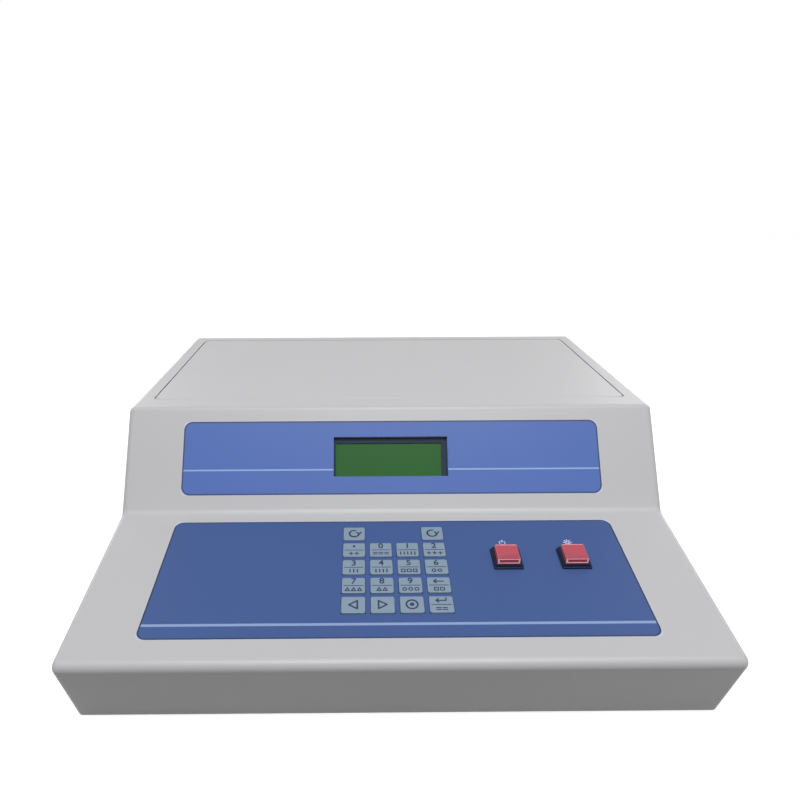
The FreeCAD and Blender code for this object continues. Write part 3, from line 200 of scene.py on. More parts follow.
def settle(piece, body, material, replaced=(), turn=noTurn, smooth=30):
    # puts a finished piece on its slope, smooths it and lets it ride
    pick(piece)
    bpy.ops.object.transform_apply(location=True, rotation=True, scale=True)
    piece.data.transform(turn)
    piece.data.materials.clear()
    piece.data.materials.append(material)
    bpy.ops.object.shade_smooth_by_angle(angle=math.radians(smooth))
    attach(piece, body)
    if replaced:
        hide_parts(*replaced)
    return piece


# Shared effects: grain of a moulded surface, and soft mottling of a colour.
def newGroup(name, inputs, outputs):
    group = bpy.data.node_groups.new(name, "ShaderNodeTree")
    for label, kind, value in inputs:
        socket = group.interface.new_socket(label, in_out="INPUT", socket_type=kind)
        if value is not None:
            socket.default_value = value
    for label, kind in outputs:
        group.interface.new_socket(label, in_out="OUTPUT", socket_type=kind)
    return group, group.nodes.new("NodeGroupInput"), group.nodes.new("NodeGroupOutput")


def mathNode(tree, operation, first, second, clamp=False):
    node = tree.nodes.new("ShaderNodeMath")
    node.operation = operation
    node.use_clamp = clamp
    for socket, value in zip(node.inputs, (first, second)):
        if isinstance(value, (int, float)):
            socket.default_value = value
        else:
            tree.links.new(value, socket)
    return node.outputs[0]


def noise(tree, vector, scale, detail=3, roughness=0.5):
    node = tree.nodes.new("ShaderNodeTexNoise")
    node.inputs["Detail"].default_value = detail
    node.inputs["Roughness"].default_value = roughness
    if isinstance(scale, (int, float)):
        node.inputs["Scale"].default_value = scale
    else:
        tree.links.new(scale, node.inputs["Scale"])
    tree.links.new(vector, node.inputs["Vector"])
    return node.outputs["Fac"]


def makeGrainGroup():
    group, start, end = newGroup(
        "mouldedGrain",
        [("Vector", "NodeSocketVector", None), ("Scale", "NodeSocketFloat", 900.0)],
        [("Height", "NodeSocketFloat")],
    )
    fine = noise(group, start.outputs["Vector"], start.outputs["Scale"], 2, 0.6)
    coarseScale = mathNode(group, "MULTIPLY", start.outputs["Scale"], 0.22)
    coarse = noise(group, start.outputs["Vector"], coarseScale, 2)
    half = mathNode(group, "MULTIPLY", coarse, 0.5)
    group.links.new(mathNode(group, "ADD", fine, half), end.inputs["Height"])
    return group


def makeMottleGroup():
    group, start, end = newGroup(
        "softMottle",
        [
            ("Vector", "NodeSocketVector", None), ("Scale", "NodeSocketFloat", 20.0),
            ("Color", "NodeSocketColor", (0.5, 0.5, 0.5, 1)), ("Amount", "NodeSocketFloat", 0.05),
            ("Roughness", "NodeSocketFloat", 0.5), ("Smudge", "NodeSocketFloat", 0.05),
        ],
        [("Color", "NodeSocketColor"), ("Roughness", "NodeSocketFloat")],
    )
    clouds = noise(group, start.outputs["Vector"], start.outputs["Scale"], 4, 0.55)
    swing = mathNode(group, "SUBTRACT", clouds, 0.5)
    level = mathNode(group, "MULTIPLY", swing, start.outputs["Amount"])
    factor = mathNode(group, "ADD", level, 1.0)
    tint = group.nodes.new("ShaderNodeVectorMath")
    tint.operation = "SCALE"
    group.links.new(start.outputs["Color"], tint.inputs[0])
    group.links.new(factor, tint.inputs["Scale"])
    group.links.new(tint.outputs[0], end.inputs["Color"])
    wideScale = mathNode(group, "MULTIPLY", start.outputs["Scale"], 2.7)
    smears = noise(group, start.outputs["Vector"], wideScale, 5, 0.65)
    smearSwing = mathNode(group, "SUBTRACT", smears, 0.5)
    smearLevel = mathNode(group, "MULTIPLY", smearSwing, start.outputs["Smudge"])
    rough = mathNode(group, "ADD", smearLevel, start.outputs["Roughness"], clamp=True)
    group.links.new(rough, end.inputs["Roughness"])
    return group


def makeStripeGroup():
    # 1 on thin straight lines that lie at a distance along a direction, else 0
    group, start, end = newGroup(
        "printedLine",
        [
            ("Vector", "NodeSocketVector", None), ("Direction", "NodeSocketVector", (0, 0, 1)),
            ("Place", "NodeSocketFloat", 0.0), ("Half Width", "NodeSocketFloat", 0.0005),
        ],
        [("Mask", "NodeSocketFloat")],
    )
    along = group.nodes.new("ShaderNodeVectorMath")
    along.operation = "DOT_PRODUCT"
    group.links.new(start.outputs["Vector"], along.inputs[0])
    group.links.new(start.outputs["Direction"], along.inputs[1])
    offset = mathNode(group, "SUBTRACT", along.outputs["Value"], start.outputs["Place"])
    distance = mathNode(group, "ABSOLUTE", offset, 0.0)
    inside = mathNode(group, "LESS_THAN", distance, start.outputs["Half Width"])
    group.links.new(inside, end.inputs["Mask"])
    return group


def makeBorderGroup():
    # 1 in a band that follows the edge of a rounded rectangle on a slope, else 0
    group, start, end = newGroup(
        "borderBand",
        [
            ("Vector", "NodeSocketVector", None), ("Direction", "NodeSocketVector", (0, 1, 0)),
            ("Center X", "NodeSocketFloat", 0.0), ("Center Up", "NodeSocketFloat", 0.0),
            ("Half X", "NodeSocketFloat", 0.1), ("Half Up", "NodeSocketFloat", 0.1),
            ("Corner", "NodeSocketFloat", 0.004), ("From", "NodeSocketFloat", 0.0),
            ("To", "NodeSocketFloat", 0.0005),
        ],
        [("Mask", "NodeSocketFloat")],
    )
    sides = []
    for axis, label in (((1, 0, 0), "X"), (None, "Up")):
        along = group.nodes.new("ShaderNodeVectorMath")
        along.operation = "DOT_PRODUCT"
        group.links.new(start.outputs["Vector"], along.inputs[0])
        if axis:
            along.inputs[1].default_value = axis
        else:
            group.links.new(start.outputs["Direction"], along.inputs[1])
        offset = mathNode(group, "SUBTRACT", along.outputs["Value"], start.outputs["Center " + label])
        reach = mathNode(group, "ABSOLUTE", offset, 0.0)
        straight = mathNode(group, "SUBTRACT", start.outputs["Half " + label], start.outputs["Corner"])
        over = mathNode(group, "MAXIMUM", mathNode(group, "SUBTRACT", reach, straight), 0.0)
        sides.append(mathNode(group, "MULTIPLY", over, over))
    radius = mathNode(group, "SQRT", mathNode(group, "ADD", *sides), 0.0)
    inward = mathNode(group, "SUBTRACT", start.outputs["Corner"], radius)
    past = mathNode(group, "GREATER_THAN", inward, start.outputs["From"])
    before = mathNode(group, "LESS_THAN", inward, start.outputs["To"])
    group.links.new(mathNode(group, "MULTIPLY", past, before), end.inputs["Mask"])
    return group


grainGroup = makeGrainGroup()
mottleGroup = makeMottleGroup()
stripeGroup = makeStripeGroup()
borderGroup = makeBorderGroup()


def useGroup(tree, group, vector, **values):
    node = tree.nodes.new("ShaderNodeGroup")
    node.node_tree = group
    tree.links.new(vector, node.inputs["Vector"])
    for label, value in values.items():
        node.inputs[label.replace("_", " ")].default_value = value
    return node


def makeFinish(name, color, roughness=0.5, metallic=0.0, mottle=0.04, mottleScale=18, smudge=0.08,
               grain=0.00003, grainScale=900, stretch=(1, 1, 1), **sockets):
    material = bpy.data.materials.new(name)
    material.use_nodes = True
    tree = material.node_tree
    shader = tree.nodes["Principled BSDF"]
    shader.inputs["Metallic"].default_value = metallic
    for label, value in sockets.items():
        shader.inputs[label.replace("_", " ")].default_value = value
    where = tree.nodes.new("ShaderNodeTexCoord").outputs["Object"]
    mapping = tree.nodes.new("ShaderNodeMapping")
    mapping.inputs["Scale"].default_value = stretch
    tree.links.new(where, mapping.inputs["Vector"])
    vector = mapping.outputs["Vector"]
    look = useGroup(
        tree, mottleGroup, vector, Scale=mottleScale, Color=(*color[:3], 1), Amount=mottle,
        Roughness=roughness, Smudge=smudge,
    )
    tree.links.new(look.outputs["Color"], shader.inputs["Base Color"])
    tree.links.new(look.outputs["Roughness"], shader.inputs["Roughness"])
    relief = useGroup(tree, grainGroup, vector, Scale=grainScale)
    bump = tree.nodes.new("ShaderNodeBump")
    bump.inputs["Distance"].default_value = grain
    tree.links.new(relief.outputs["Height"], bump.inputs["Height"])
    tree.links.new(bump.outputs["Normal"], shader.inputs["Normal"])
    return material


def paintMask(material, group, color, **values):
    # lays one more colour over a finish where a group's mask is 1
    tree = material.node_tree
    shader = tree.nodes["Principled BSDF"]
    where = tree.nodes.new("ShaderNodeTexCoord").outputs["Object"]
    mask = useGroup(tree, group, where, **values)
    mix = tree.nodes.new("ShaderNodeMix")
    mix.data_type = "RGBA"
    mix.inputs["B"].default_value = (*color, 1)
    tree.links.new(mask.outputs["Mask"], mix.inputs["Factor"])
    tree.links.new(shader.inputs["Base Color"].links[0].from_socket, mix.inputs["A"])
    tree.links.new(mix.outputs["Result"], shader.inputs["Base Color"])


# One entry for each plain finish; colours are linear.
finishes = {
    "case": dict(color=(0.54, 0.54, 0.552), roughness=0.42, mottle=0.03, mottleScale=7, smudge=0.1,
                 grain=0.00004, grainScale=1400),
    "base": dict(color=(0.06, 0.06, 0.062), roughness=0.55, grain=0.00006, grainScale=700),
    "rear": dict(color=(0.33, 0.33, 0.335), roughness=0.5, grain=0.00005, grainScale=800),
    "rubber": dict(color=(0.018, 0.018, 0.018), roughness=0.8, mottle=0.3, grain=0.00008, grainScale=600),
    "screw": dict(color=(0.55, 0.55, 0.53), roughness=0.32, metallic=1.0, mottle=0.1, mottleScale=200),
    "tray": dict(color=(0.02, 0.02, 0.022), roughness=0.62, mottle=0.2, grain=0.00007, grainScale=900),
    "blackMetal": dict(color=(0.016, 0.016, 0.018), roughness=0.45, metallic=0.3, mottle=0.2),
    "bareMetal": dict(color=(0.66, 0.66, 0.67), roughness=0.3, metallic=1.0, mottle=0.08, mottleScale=60,
                      stretch=(1, 1, 12)),
    "knob": dict(color=(0.02, 0.02, 0.02), roughness=0.3, grain=0.00001),
    "tile": dict(color=(0.82, 0.82, 0.80), roughness=0.16, mottle=0.01, grain=0.00001, Coat_Weight=0.6,
                 Coat_Roughness=0.08),
    "glass": dict(color=(0.92, 0.95, 0.95), roughness=0.03, smudge=0.02, grain=0.0, Transmission_Weight=0.95,
                  IOR=1.5),
    "filter": dict(color=(0.25, 0.55, 0.3), roughness=0.05, grain=0.0, Transmission_Weight=0.8, IOR=1.5),
    "board": dict(color=(0.02, 0.13, 0.05), roughness=0.35, mottle=0.25, mottleScale=120),
    "blackPlastic": dict(color=(0.009, 0.010, 0.014), roughness=0.42, grain=0.00003, grainScale=1200,
                         Specular_IOR_Level=0.35),
    "core": dict(color=(0.10, 0.09, 0.085), roughness=0.5, metallic=0.6, mottle=0.3, stretch=(1, 40, 1)),
    "winding": dict(color=(0.50, 0.30, 0.05), roughness=0.25, mottle=0.2, stretch=(1, 1, 20)),
    "displayFilm": dict(color=(0.063, 0.139, 0.445), roughness=0.5, mottle=0.10, mottleScale=9,
                        grain=0.00002, grainScale=1600),
    "keypadFilm": dict(color=(0.049, 0.099, 0.278), roughness=0.5, mottle=0.12, mottleScale=9,
                       grain=0.00002, grainScale=1600, Specular_IOR_Level=0.35),
    "lcdFrame": dict(color=(0.016, 0.030, 0.058), roughness=0.55, grain=0.00002, Specular_IOR_Level=0.2),
    "lcd": dict(color=(0.029, 0.130, 0.031), roughness=0.35, mottle=0.3, mottleScale=14, grain=0.0,
                Specular_IOR_Level=0.12),
    "key": dict(color=(0.232, 0.318, 0.405), roughness=0.5, mottle=0.05, mottleScale=80),
    "connector": dict(color=(0.50, 0.50, 0.49), roughness=0.3, metallic=1.0, mottle=0.1, mottleScale=150),
}
materials = {name: makeFinish(name, **values) for name, values in finishes.items()}

# The pale thin lines printed on the two films, measured from each film's lower edge.
lines = {
    "displayFilm": {"node": "display_overlay", "turn": panelTurn, "up": 18.1 * mm, "halfWidth": 0.55 * mm,
                    "color": (0.29, 0.44, 0.72)},
    "keypadFilm": {"node": "keypad_overlay", "turn": deckTurn, "up": 10.85 * mm, "halfWidth": 0.95 * mm,
                   "color": (0.28, 0.38, 0.63)},
}
# Each film's print ends in a thin dark line, with a clear rim and rounder corners than the film.
rims = {
    "dark": {"from": 0.4 * mm, "to": 1.4 * mm, "color": (0.028, 0.036, 0.085)},
    "clear": {"from": -3 * mm, "to": 0.4 * mm, "color": (0.56, 0.60, 0.74)},
}
printCorner = 6.5 * mm
for name, line in lines.items():
    low, high = turnedBox(line["node"], line["turn"])
    direction = line["turn"] @ Vector((0, 1, 0))
    paintMask(materials[name], stripeGroup, line["color"], Direction=direction, Place=low.y + line["up"],
              Half_Width=line["halfWidth"])
    for rim in rims.values():
        paintMask(materials[name], borderGroup, rim["color"], Direction=direction, Corner=printCorner,
                  Center_X=(low.x + high.x) / 2, Center_Up=(low.y + high.y) / 2,
                  Half_X=(high.x - low.x) / 2, Half_Up=(high.y - low.y) / 2, From=rim["from"], To=rim["to"])

# Finish of every node, by the record's slot that it belongs to.
slotFinishes = {
    "case": "case", "base": "base", "rear": "rear", "rubber": "rubber", "screw": "screw", "tray": "tray",
    "black_metal": "blackMetal", "bare_metal": "bareMetal", "press_knob": "knob", "tile": "tile",
    "bulb": "glass", "lens": "glass", "filter": "filter", "board": "board", "black_plastic": "blackPlastic",
    "core": "core", "winding": "winding", "display_film": "displayFilm", "keypad_film": "keypadFilm",
    "lcd_frame": "lcdFrame", "lcd": "lcd", "key": "key", "cap": "cap", "connector": "connector",
}
materials["cap"] = makeFinish("cap", (0.55, 0.10, 0.12), roughness=0.2)
for part in frame["record"]["subparts"]:
    node = nodes[part["node"]]
    node.data.materials.clear()
    node.data.materials.append(materials[slotFinishes[part["material_slot"]]])
print("finishes on the nodes")

# Finishes of the pieces made here.
materials["switchPlastic"] = makeFinish(
    "switchPlastic", (0.009, 0.013, 0.036), roughness=0.42, grain=0.00002, grainScale=1200, Specular_IOR_Level=0.2,
)
# Cap colours are painted light and shade on one red. The top is painted lighter and the front darker than the sides.
# The front rim and forward edges carry a pale painted highlight with a stronger glow, and every face glows a little.
materials["capTopPaintedLight"] = makeFinish(
    "capTopPaintedLight", (0.44, 0.064, 0.09), roughness=0.3, mottle=0.06, mottleScale=120, grain=0.00001,
    Specular_IOR_Level=0.35, Emission_Color=(0.055, 0.014, 0.018, 1), Emission_Strength=1.0,
)
materials["capFrontPaintedShade"] = makeFinish(
    "capFrontPaintedShade", (0.30, 0.035, 0.055), roughness=0.35, mottle=0.12, mottleScale=160, grain=0.00001,
    Emission_Color=(0.10, 0.012, 0.02, 1), Emission_Strength=1.0,
)
materials["capRimPaintedHighlight"] = makeFinish(
    "capRimPaintedHighlight", (0.72, 0.40, 0.44), roughness=0.2, mottle=0.05, mottleScale=160, grain=0.0,
    Coat_Weight=0.6, Coat_Roughness=0.1, Emission_Color=(0.24, 0.12, 0.13, 1), Emission_Strength=1.0,
)
materials["capSide"] = makeFinish(
    "capSide", (0.46, 0.09, 0.12), roughness=0.3, mottle=0.06, mottleScale=120, grain=0.0,
    Specular_IOR_Level=0.35, Emission_Color=(0.07, 0.02, 0.025, 1), Emission_Strength=1.0,
)
materials["legend"] = makeFinish(
    "legend", (0.018, 0.025, 0.085), roughness=0.5, mottle=0.15, mottleScale=300, grain=0.0,
)
materials["paleLegend"] = makeFinish(
    "paleLegend", (0.60, 0.66, 0.80), roughness=0.5, mottle=0.1, mottleScale=300, grain=0.0,
)
materials["pins"] = makeFinish(
    "pins", (0.75, 0.55, 0.22), roughness=0.25, metallic=1.0, mottle=0.1, mottleScale=400,
)

# Push buttons: a black bezel and collar in the deck, and a red cap whose top and front are sunk panels.
pushButton = {
    "pairs": {"power_switch": "power_button", "lamp_switch": "lamp_button"},
    "bezel": 1.3 * mm, "collarInset": 0.9 * mm, "cornerRound": 1.0 * mm, "edge": 0.3 * mm,
    "room": 11.2 * mm, "gap": 0.2 * mm, "topRim": 0.5 * mm, "frontRim": 0.45 * mm, "sink": 0.2 * mm, "capCorner": 0.6 * mm,
    "panelArea": 12 * mm * mm,
}


def isUpright(first, second):
    return abs(first.x - second.x) < 1e-7 and abs(first.y - second.y) < 1e-7


def bevelPicked(width, segments=3):
    bpy.ops.mesh.bevel(offset=width, segments=segments, affect="EDGES", clamp_overlap=True)
    bpy.ops.object.mode_set(mode="OBJECT")


def roundUprights(piece, width, segments=4):
    pickEdges(piece, isUpright)
    bevelPicked(width, segments)


def facing(direction, level=None, above=None):
    # picks the faces that look one way, at one place and above a height if those are given
    direction = Vector(direction)

    def wanted(face):
        if face.normal.dot(direction) < 0.95:
            return False
        atLevel = level is None or abs(face.center.dot(direction) - level) < 0.01 * mm
        return atLevel and (above is None or face.center.z > above)

    return wanted


def sinkFace(piece, direction, level, inset, depth, above=None):
    # insets one face and pushes its middle in
    pickFaces(piece, facing(direction, level, above))
    bpy.ops.mesh.inset(thickness=inset, depth=0)
    bpy.ops.mesh.extrude_region_move(TRANSFORM_OT_translate={"value": Vector(direction) * -depth})
    bpy.ops.object.mode_set(mode="OBJECT")


def copyOf(piece, name, offset=(0, 0, 0)):
    twin = piece.copy()
    twin.data = piece.data.copy()
    twin.name = name
    bpy.context.collection.objects.link(twin)
    twin.data.transform(Matrix.Translation(Vector(offset)))
    return twin


deckTop = turnedBox("keypad_overlay", deckTurn)[1].z
for switchName, buttonName in pushButton["pairs"].items():
    label = switchName.split("_")[0]
    low, high = turnedBox(switchName, deckTurn)
    capLow, capHigh = turnedBox(buttonName, deckTurn)
    inset = Vector((pushButton["collarInset"],) * 2 + (0,))
    collar = block(label + "Collar", low + inset, high - inset)
    roundUprights(collar, pushButton["cornerRound"])
    bezel = block("bezel", (low.x, low.y, deckTop), (high.x, high.y, deckTop + pushButton["bezel"]))
    roundUprights(bezel, pushButton["cornerRound"])
    pickEdges(bezel, lambda a, b: min(a.z, b.z) > deckTop + 0.5 * pushButton["bezel"])
    bevelPicked(pushButton["edge"] * 2)
    weld(collar, bezel)
    wall = capLow.x - (low.x + inset.x) - pushButton["gap"]
    sinkFace(collar, (0, 0, 1), high.z, wall, high.z - deckTop + pushButton["room"])
    roundEdges(collar, pushButton["edge"] * 0.5, 2)
    settle(collar, console, materials["switchPlastic"], [switchName], deckTurn)

    cap = block(label + "Cap", capLow, capHigh)
    roundUprights(cap, pushButton["capCorner"])
    pickFaces(cap, lambda face: True)
    bpy.ops.mesh.bisect(plane_co=(0, 0, high.z), plane_no=(0, 0, 1))
    bpy.ops.object.mode_set(mode="OBJECT")
    sinkFace(cap, (0, 0, 1), capHigh.z, pushButton["topRim"], pushButton["sink"])
    sinkFace(cap, (0, -1, 0), -capLow.y, pushButton["frontRim"], pushButton["sink"], above=high.z)
    roundEdges(cap, pushButton["edge"] * 0.4, 2, 40)
    settle(cap, buttonName, materials["capRimPaintedHighlight"], [buttonName], deckTurn)
    # the flat top takes the painted lighter red, the flat front the painted darker red and the sides the plain red;
    # forward-facing rims and edges keep the pale painted highlight
    for name in ("capTopPaintedLight", "capFrontPaintedShade", "capSide"):
        cap.data.materials.append(materials[name])
    upward, forward = (deckTurn @ Vector(axis) for axis in ((0, 0, 1), (0, -1, 0)))
    for face in cap.data.polygons:
        isPanel = face.area > pushButton["panelArea"]
        if isPanel and face.normal.dot(upward) > 0.95:
            face.material_index = 1
        elif isPanel and face.normal.dot(forward) > 0.95:
            face.material_index = 2
        elif face.normal.dot(forward) < 0.3:
            face.material_index = 3
print("push buttons made")

# Legends on the keys: the digits, and plain marks where the others carry words.
legend = {
    "thickness": 0.06 * mm, "digit": 6.6 * mm, "digitUp": 3.35 * mm, "markUp": -3.5 * mm,
    "line": 0.5 * mm, "lineLength": 12.2 * mm, "lineUp": -0.35 * mm, "stroke": 0.85 * mm,
    "mark": 1.45 * mm, "markPitch": 3.7 * mm, "thin": 0.7 * mm, "large": 4.0 * mm, "thick": 1.05 * mm,
}


def flatBox(x, y, width, height):
    base = block("mark", (x - width / 2, y - height / 2, 0), (x + width / 2, y + height / 2, legend["thickness"]))
    roundUprights(base, min(width, height) * 0.25, 2)
    return base


def bar(start, end, width):
    # a rounded stroke from one point to another
    start, end = Vector(start), Vector(end)
    reach = end - start
    stroke = flatBox(0, 0, reach.length + width * 0.6, width)
    turn = Matrix.Rotation(math.atan2(reach.y, reach.x), 4, "Z")
    stroke.data.transform(Matrix.Translation(((start + end) / 2).to_3d()) @ turn)
    return stroke


def strokes(points, width=None):
    width = width or legend["stroke"]
    return [bar(a, b, width) for a, b in zip(points, points[1:])]


def ring(x, y, radius, width):
    half = width / 2
    profile = [(radius - half, 0), (radius + half, 0), (radius + half, legend["thickness"]),
               (radius - half, legend["thickness"])]
    return turned("mark", profile, base=(x, y, 0), closed=True, steps=28)


def disc(x, y, radius):
    return turned("mark", [(0, 0), (radius, 0), (radius, legend["thickness"]), (0, legend["thickness"])],
                  base=(x, y, 0), steps=24)


def digitMark(text, size, x, y):
    bpy.ops.object.select_all(action="DESELECT")
    bpy.ops.object.text_add(location=(0, 0, 0))
    letter = bpy.context.object
    letter.data.body = text
    letter.data.size = size
    letter.data.align_x = "CENTER"
    letter.data.align_y = "CENTER"
    letter.data.extrude = legend["thickness"] / 2
    letter.data.offset = size * 0.022
    letter.data.resolution_u = 4
    bpy.ops.object.convert(target="MESH")
    letter = bpy.context.object
    letter.data.transform(Matrix.Translation((x, y, legend["thickness"] / 2)))
    return letter


def closedLine(points, x, y, width):
    # a closed outline round a place, from corners in parts of the mark's size
    corners = [Vector((x, y)) + Vector(point) * legend["mark"] for point in points]
    return strokes(corners + corners[:1], width)


def markStrokes(kind, y):
    # a row of small marks under the line, told apart by their number and form
    form, count = kind[:-1], int(kind[-1])
    size, parts = legend["mark"], []
    for i in range(count):
        pitch = legend["markPitch"] * (0.62 if form == "bar" else 1)
        x = (i - (count - 1) / 2) * pitch
        if form == "bar":
            parts.append(flatBox(x, y, legend["stroke"], 2.1 * size))
        elif form == "ring":
            parts.append(ring(x, y, 0.8 * size, legend["thin"]))
        elif form == "square":
            parts += closedLine([(-0.8, -0.8), (0.8, -0.8), (0.8, 0.8), (-0.8, 0.8)], x, y, legend["thin"])
        elif form == "peak":
            parts += closedLine([(-0.9, -0.8), (0, 0.9), (0.9, -0.8)], x, y, legend["thin"])
        elif form == "cross":
            parts.append(flatBox(x, y, 2 * size, legend["thin"]))
            parts.append(flatBox(x, y, legend["thin"], 2 * size))
        elif form == "dash":
            parts.append(flatBox(x, y + 0.5 * size, 2.2 * size, legend["thin"]))
            parts.append(flatBox(x, y - 0.5 * size, 2.2 * size, legend["thin"]))
    return parts


def arrow(kind, y):
    # back points left; enter comes down first
    left, right, width = -3.0 * mm, 3.0 * mm, legend["stroke"]
    parts = [
        bar((right, y), (left, y), width),
        bar((left, y), (left + 1.6 * mm, y + 1.5 * mm), width),
        bar((left, y), (left + 1.6 * mm, y - 1.5 * mm), width),
    ]
    if kind == "enter":
        parts.append(bar((right, y + 2.1 * mm), (right, y), width))
    return parts


# what is above and below the line of each key; a single large mark has no line
keyMarks = {
    "key_7": ("7", "peak3"), "key_8": ("8", "peak2"), "key_9": ("9", "ring3"), "key_back": ("back", "square2"),
    "key_3": ("3", "bar3"), "key_4": ("4", "bar4"), "key_5": ("5", "square3"), "key_6": ("6", "ring2"),
    "key_point": ("point", "cross2"), "key_0": ("0", "dash3"), "key_1": ("1", "bar5"), "key_2": ("2", "cross3"),
    "key_enter": ("enter", "dash2"),
    "key_previous": ("previous", None), "key_next": ("next", None), "key_measure": ("measure", None),
    "key_reset_left": ("reset", None), "key_reset_right": ("reset", None),
}


def largeMark(kind):
    size, width = legend["large"], legend["thick"]
    if kind in ("previous", "next"):
        way = -1 if kind == "previous" else 1
        corners = [Vector((-0.6 * way, 0.8)) * size, Vector((0.65 * way, 0)) * size,
                   Vector((-0.6 * way, -0.8)) * size]
        return strokes(corners + corners[:1], width)
    if kind == "measure":
        return [ring(0, 0, 0.85 * size, width), disc(0, 0, 0.34 * size)]
    # an open ring with an arrow head: back to the start
    turns = [math.radians(a) for a in range(75, 361, 15)]
    path = [Vector((math.cos(a), math.sin(a))) * 0.8 * size for a in turns]
    head = [Vector((0.42, 0.32)) * size, Vector((0.8, -0.08)) * size, Vector((1.16, 0.34)) * size]
    return strokes(path, width) + strokes(head, width)


for keyName, (top, bottom) in keyMarks.items():
    low, high = turnedBox(keyName, deckTurn)
    middle = (low + high) / 2
    if bottom is None:
        parts = largeMark(top)
    else:
        parts = [flatBox(0, legend["lineUp"], legend["lineLength"], legend["line"])]
        parts += markStrokes(bottom, legend["markUp"])
        if top in ("back", "enter"):
            parts += arrow(top, legend["digitUp"] - 0.4 * mm)
        elif top == "point":
            parts.append(disc(0, legend["digitUp"], 0.95 * mm))
        else:
            parts.append(digitMark(top, legend["digit"], 0, legend["digitUp"]))
    mark = merged(keyName + "Mark", parts)
    mark.data.transform(Matrix.Translation((middle.x, middle.y, high.z + 0.01 * mm)))
    settle(mark, keyName, materials["legend"], [], deckTurn)
print("key legends made")

# Signs behind the push buttons: mains on, and light.
signs = {"behind": 6.4 * mm, "radius": 1.9 * mm, "stroke": 0.75 * mm}
for switchName, kind in (("power_switch", "power"), ("lamp_switch", "light")):
    low, high = turnedBox(switchName, deckTurn)
    if kind == "power":
        turns = [math.radians(a) for a in range(130, 411, 20)]
        path = [Vector((math.cos(a), math.sin(a))) * signs["radius"] for a in turns]
        parts = strokes(path, signs["stroke"])
        parts.append(bar((0, 0.4 * mm), (0, 1.4 * signs["radius"]), signs["stroke"]))
    else:
        parts = [ring(0, 0, 0.6 * signs["radius"], signs["stroke"])]
        for step in range(8):
            ray = Vector((math.cos(math.radians(45 * step)), math.sin(math.radians(45 * step))))
            parts.append(bar(ray * signs["radius"], ray * 1.4 * signs["radius"], signs["stroke"]))
    sign = merged(kind + "Sign", parts)
    sign.data.transform(Matrix.Translation(((low.x + high.x) / 2, high.y + signs["behind"], deckTop)))
    settle(sign, console, materials["paleLegend"], [], deckTurn)
print("signs made")

# Rubber feet, each turned with a hollow under it.
feet = {"inset": 10 * mm, "steps": 40}
low, high = turnedBox("rubber_feet")
inset = feet["inset"]
footSpots = [(x, y) for x in (low.x + inset, high.x - inset) for y in (low.y + inset, high.y - inset)]
footProfile = [(0, 0.9), (4.6, 0.9), (5.0, 0.5), (5.4, 0), (8.5, 0), (9.1, 0.3), (10, 3.2), (9.8, 3.7), (9.3, 3.95),
               (3, 3.95), (3, 5.55), (4.2, 5.6), (4.0, 6.2), (3.0, 7.2), (2.2, 7.5), (0, 7.5)]
footParts = [
    turned("foot", [(r * mm, z * mm) for r, z in footProfile], base=(x, y, low.z), steps=feet["steps"])
    for x, y in footSpots
]
rubberFeet = merged("rubberFeet", footParts)
settle(rubberFeet, console, materials["rubber"], ["rubber_feet"])

# Screws: a domed head with a cross in it, and a ridged shank.
screw = {"head": 2.8 * mm, "headHeight": 1.8 * mm, "shank": 1.5 * mm, "length": 8 * mm, "ridges": 12}


def makeScrew():
    head, height, shank = screw["head"], screw["headHeight"], screw["shank"]
    end = height / 2 - screw["length"]
    profile = [(0, height), (head * 0.55, height * 0.97), (head * 0.86, height * 0.74), (head, height * 0.32),
               (head, 0), (shank, 0)]
    pitch = (-end - 0.4 * mm) / screw["ridges"]
    for ridge in range(screw["ridges"]):
        profile.append((shank * 0.84, -(ridge + 0.5) * pitch))
        profile.append((shank, -(ridge + 1) * pitch))
    profile += [(shank * 0.7, end), (0, end)]
    piece = turned("screw", profile, steps=24)
    for across in ("X", "Y"):
        reach = (1.6 * mm, 0.28 * mm) if across == "X" else (0.28 * mm, 1.6 * mm)
        slot = block("slot", (-reach[0], -reach[1], height * 0.35), (reach[0], reach[1], height * 1.4))
        carve(piece, slot)
    return piece


def islands(name):
    # middle of each separate solid of a node
    mesh = nodes[name].data
    parent = list(range(len(mesh.vertices)))

    def root(i):
        while parent[i] != i:
            parent[i] = parent[parent[i]]
            i = parent[i]
        return i

    spots = {}
    for i, vertex in enumerate(mesh.vertices):
        key = tuple(round(c * 1e6) for c in vertex.co)
        if key in spots:
            parent[root(i)] = root(spots[key])
        spots[key] = i
    for edge in mesh.edges:
        parent[root(edge.vertices[0])] = root(edge.vertices[1])
    groups = {}
    for i, vertex in enumerate(mesh.vertices):
        groups.setdefault(root(i), []).append(vertex.co)
    boxes = []
    for points in groups.values():
        lowest = Vector([min(p[i] for p in points) for i in range(3)])
        highest = Vector([max(p[i] for p in points) for i in range(3)])
        boxes.append((lowest, highest))
    return sorted(boxes, key=lambda pair: tuple(round(c, 4) for c in pair[0]))


modelScrew = makeScrew()
screwParts = []
panelOut = turnedBox("rear_panel")[1].y
for number, (lowest, highest) in enumerate(islands("screws")):
    middle = (lowest + highest) / 2
    twin = copyOf(modelScrew, f"screw{number}")
    twist = Matrix.Rotation(math.radians(23 * number), 4, "Z")
    if highest.z - lowest.z > highest.y - lowest.y:
        turn = Matrix.Rotation(math.pi, 4, "X")
        spot = Vector((middle.x, middle.y, lowest.z + screw["headHeight"]))
    else:
        turn = Matrix.Rotation(-math.pi / 2, 4, "X")
        spot = Vector((middle.x, panelOut, middle.z))
    twin.data.transform(Matrix.Translation(spot) @ turn @ twist)
    screwParts.append(twin)
bpy.data.objects.remove(modelScrew)
screws = merged("caseScrews", screwParts)
settle(screws, console, materials["screw"], ["screws"])
print("feet and screws made")

slotOf = {part["node"]: part["material_slot"] for part in frame["record"]["subparts"]}


def finishOf(nodeName):
    return materials[slotFinishes[slotOf[nodeName]]]


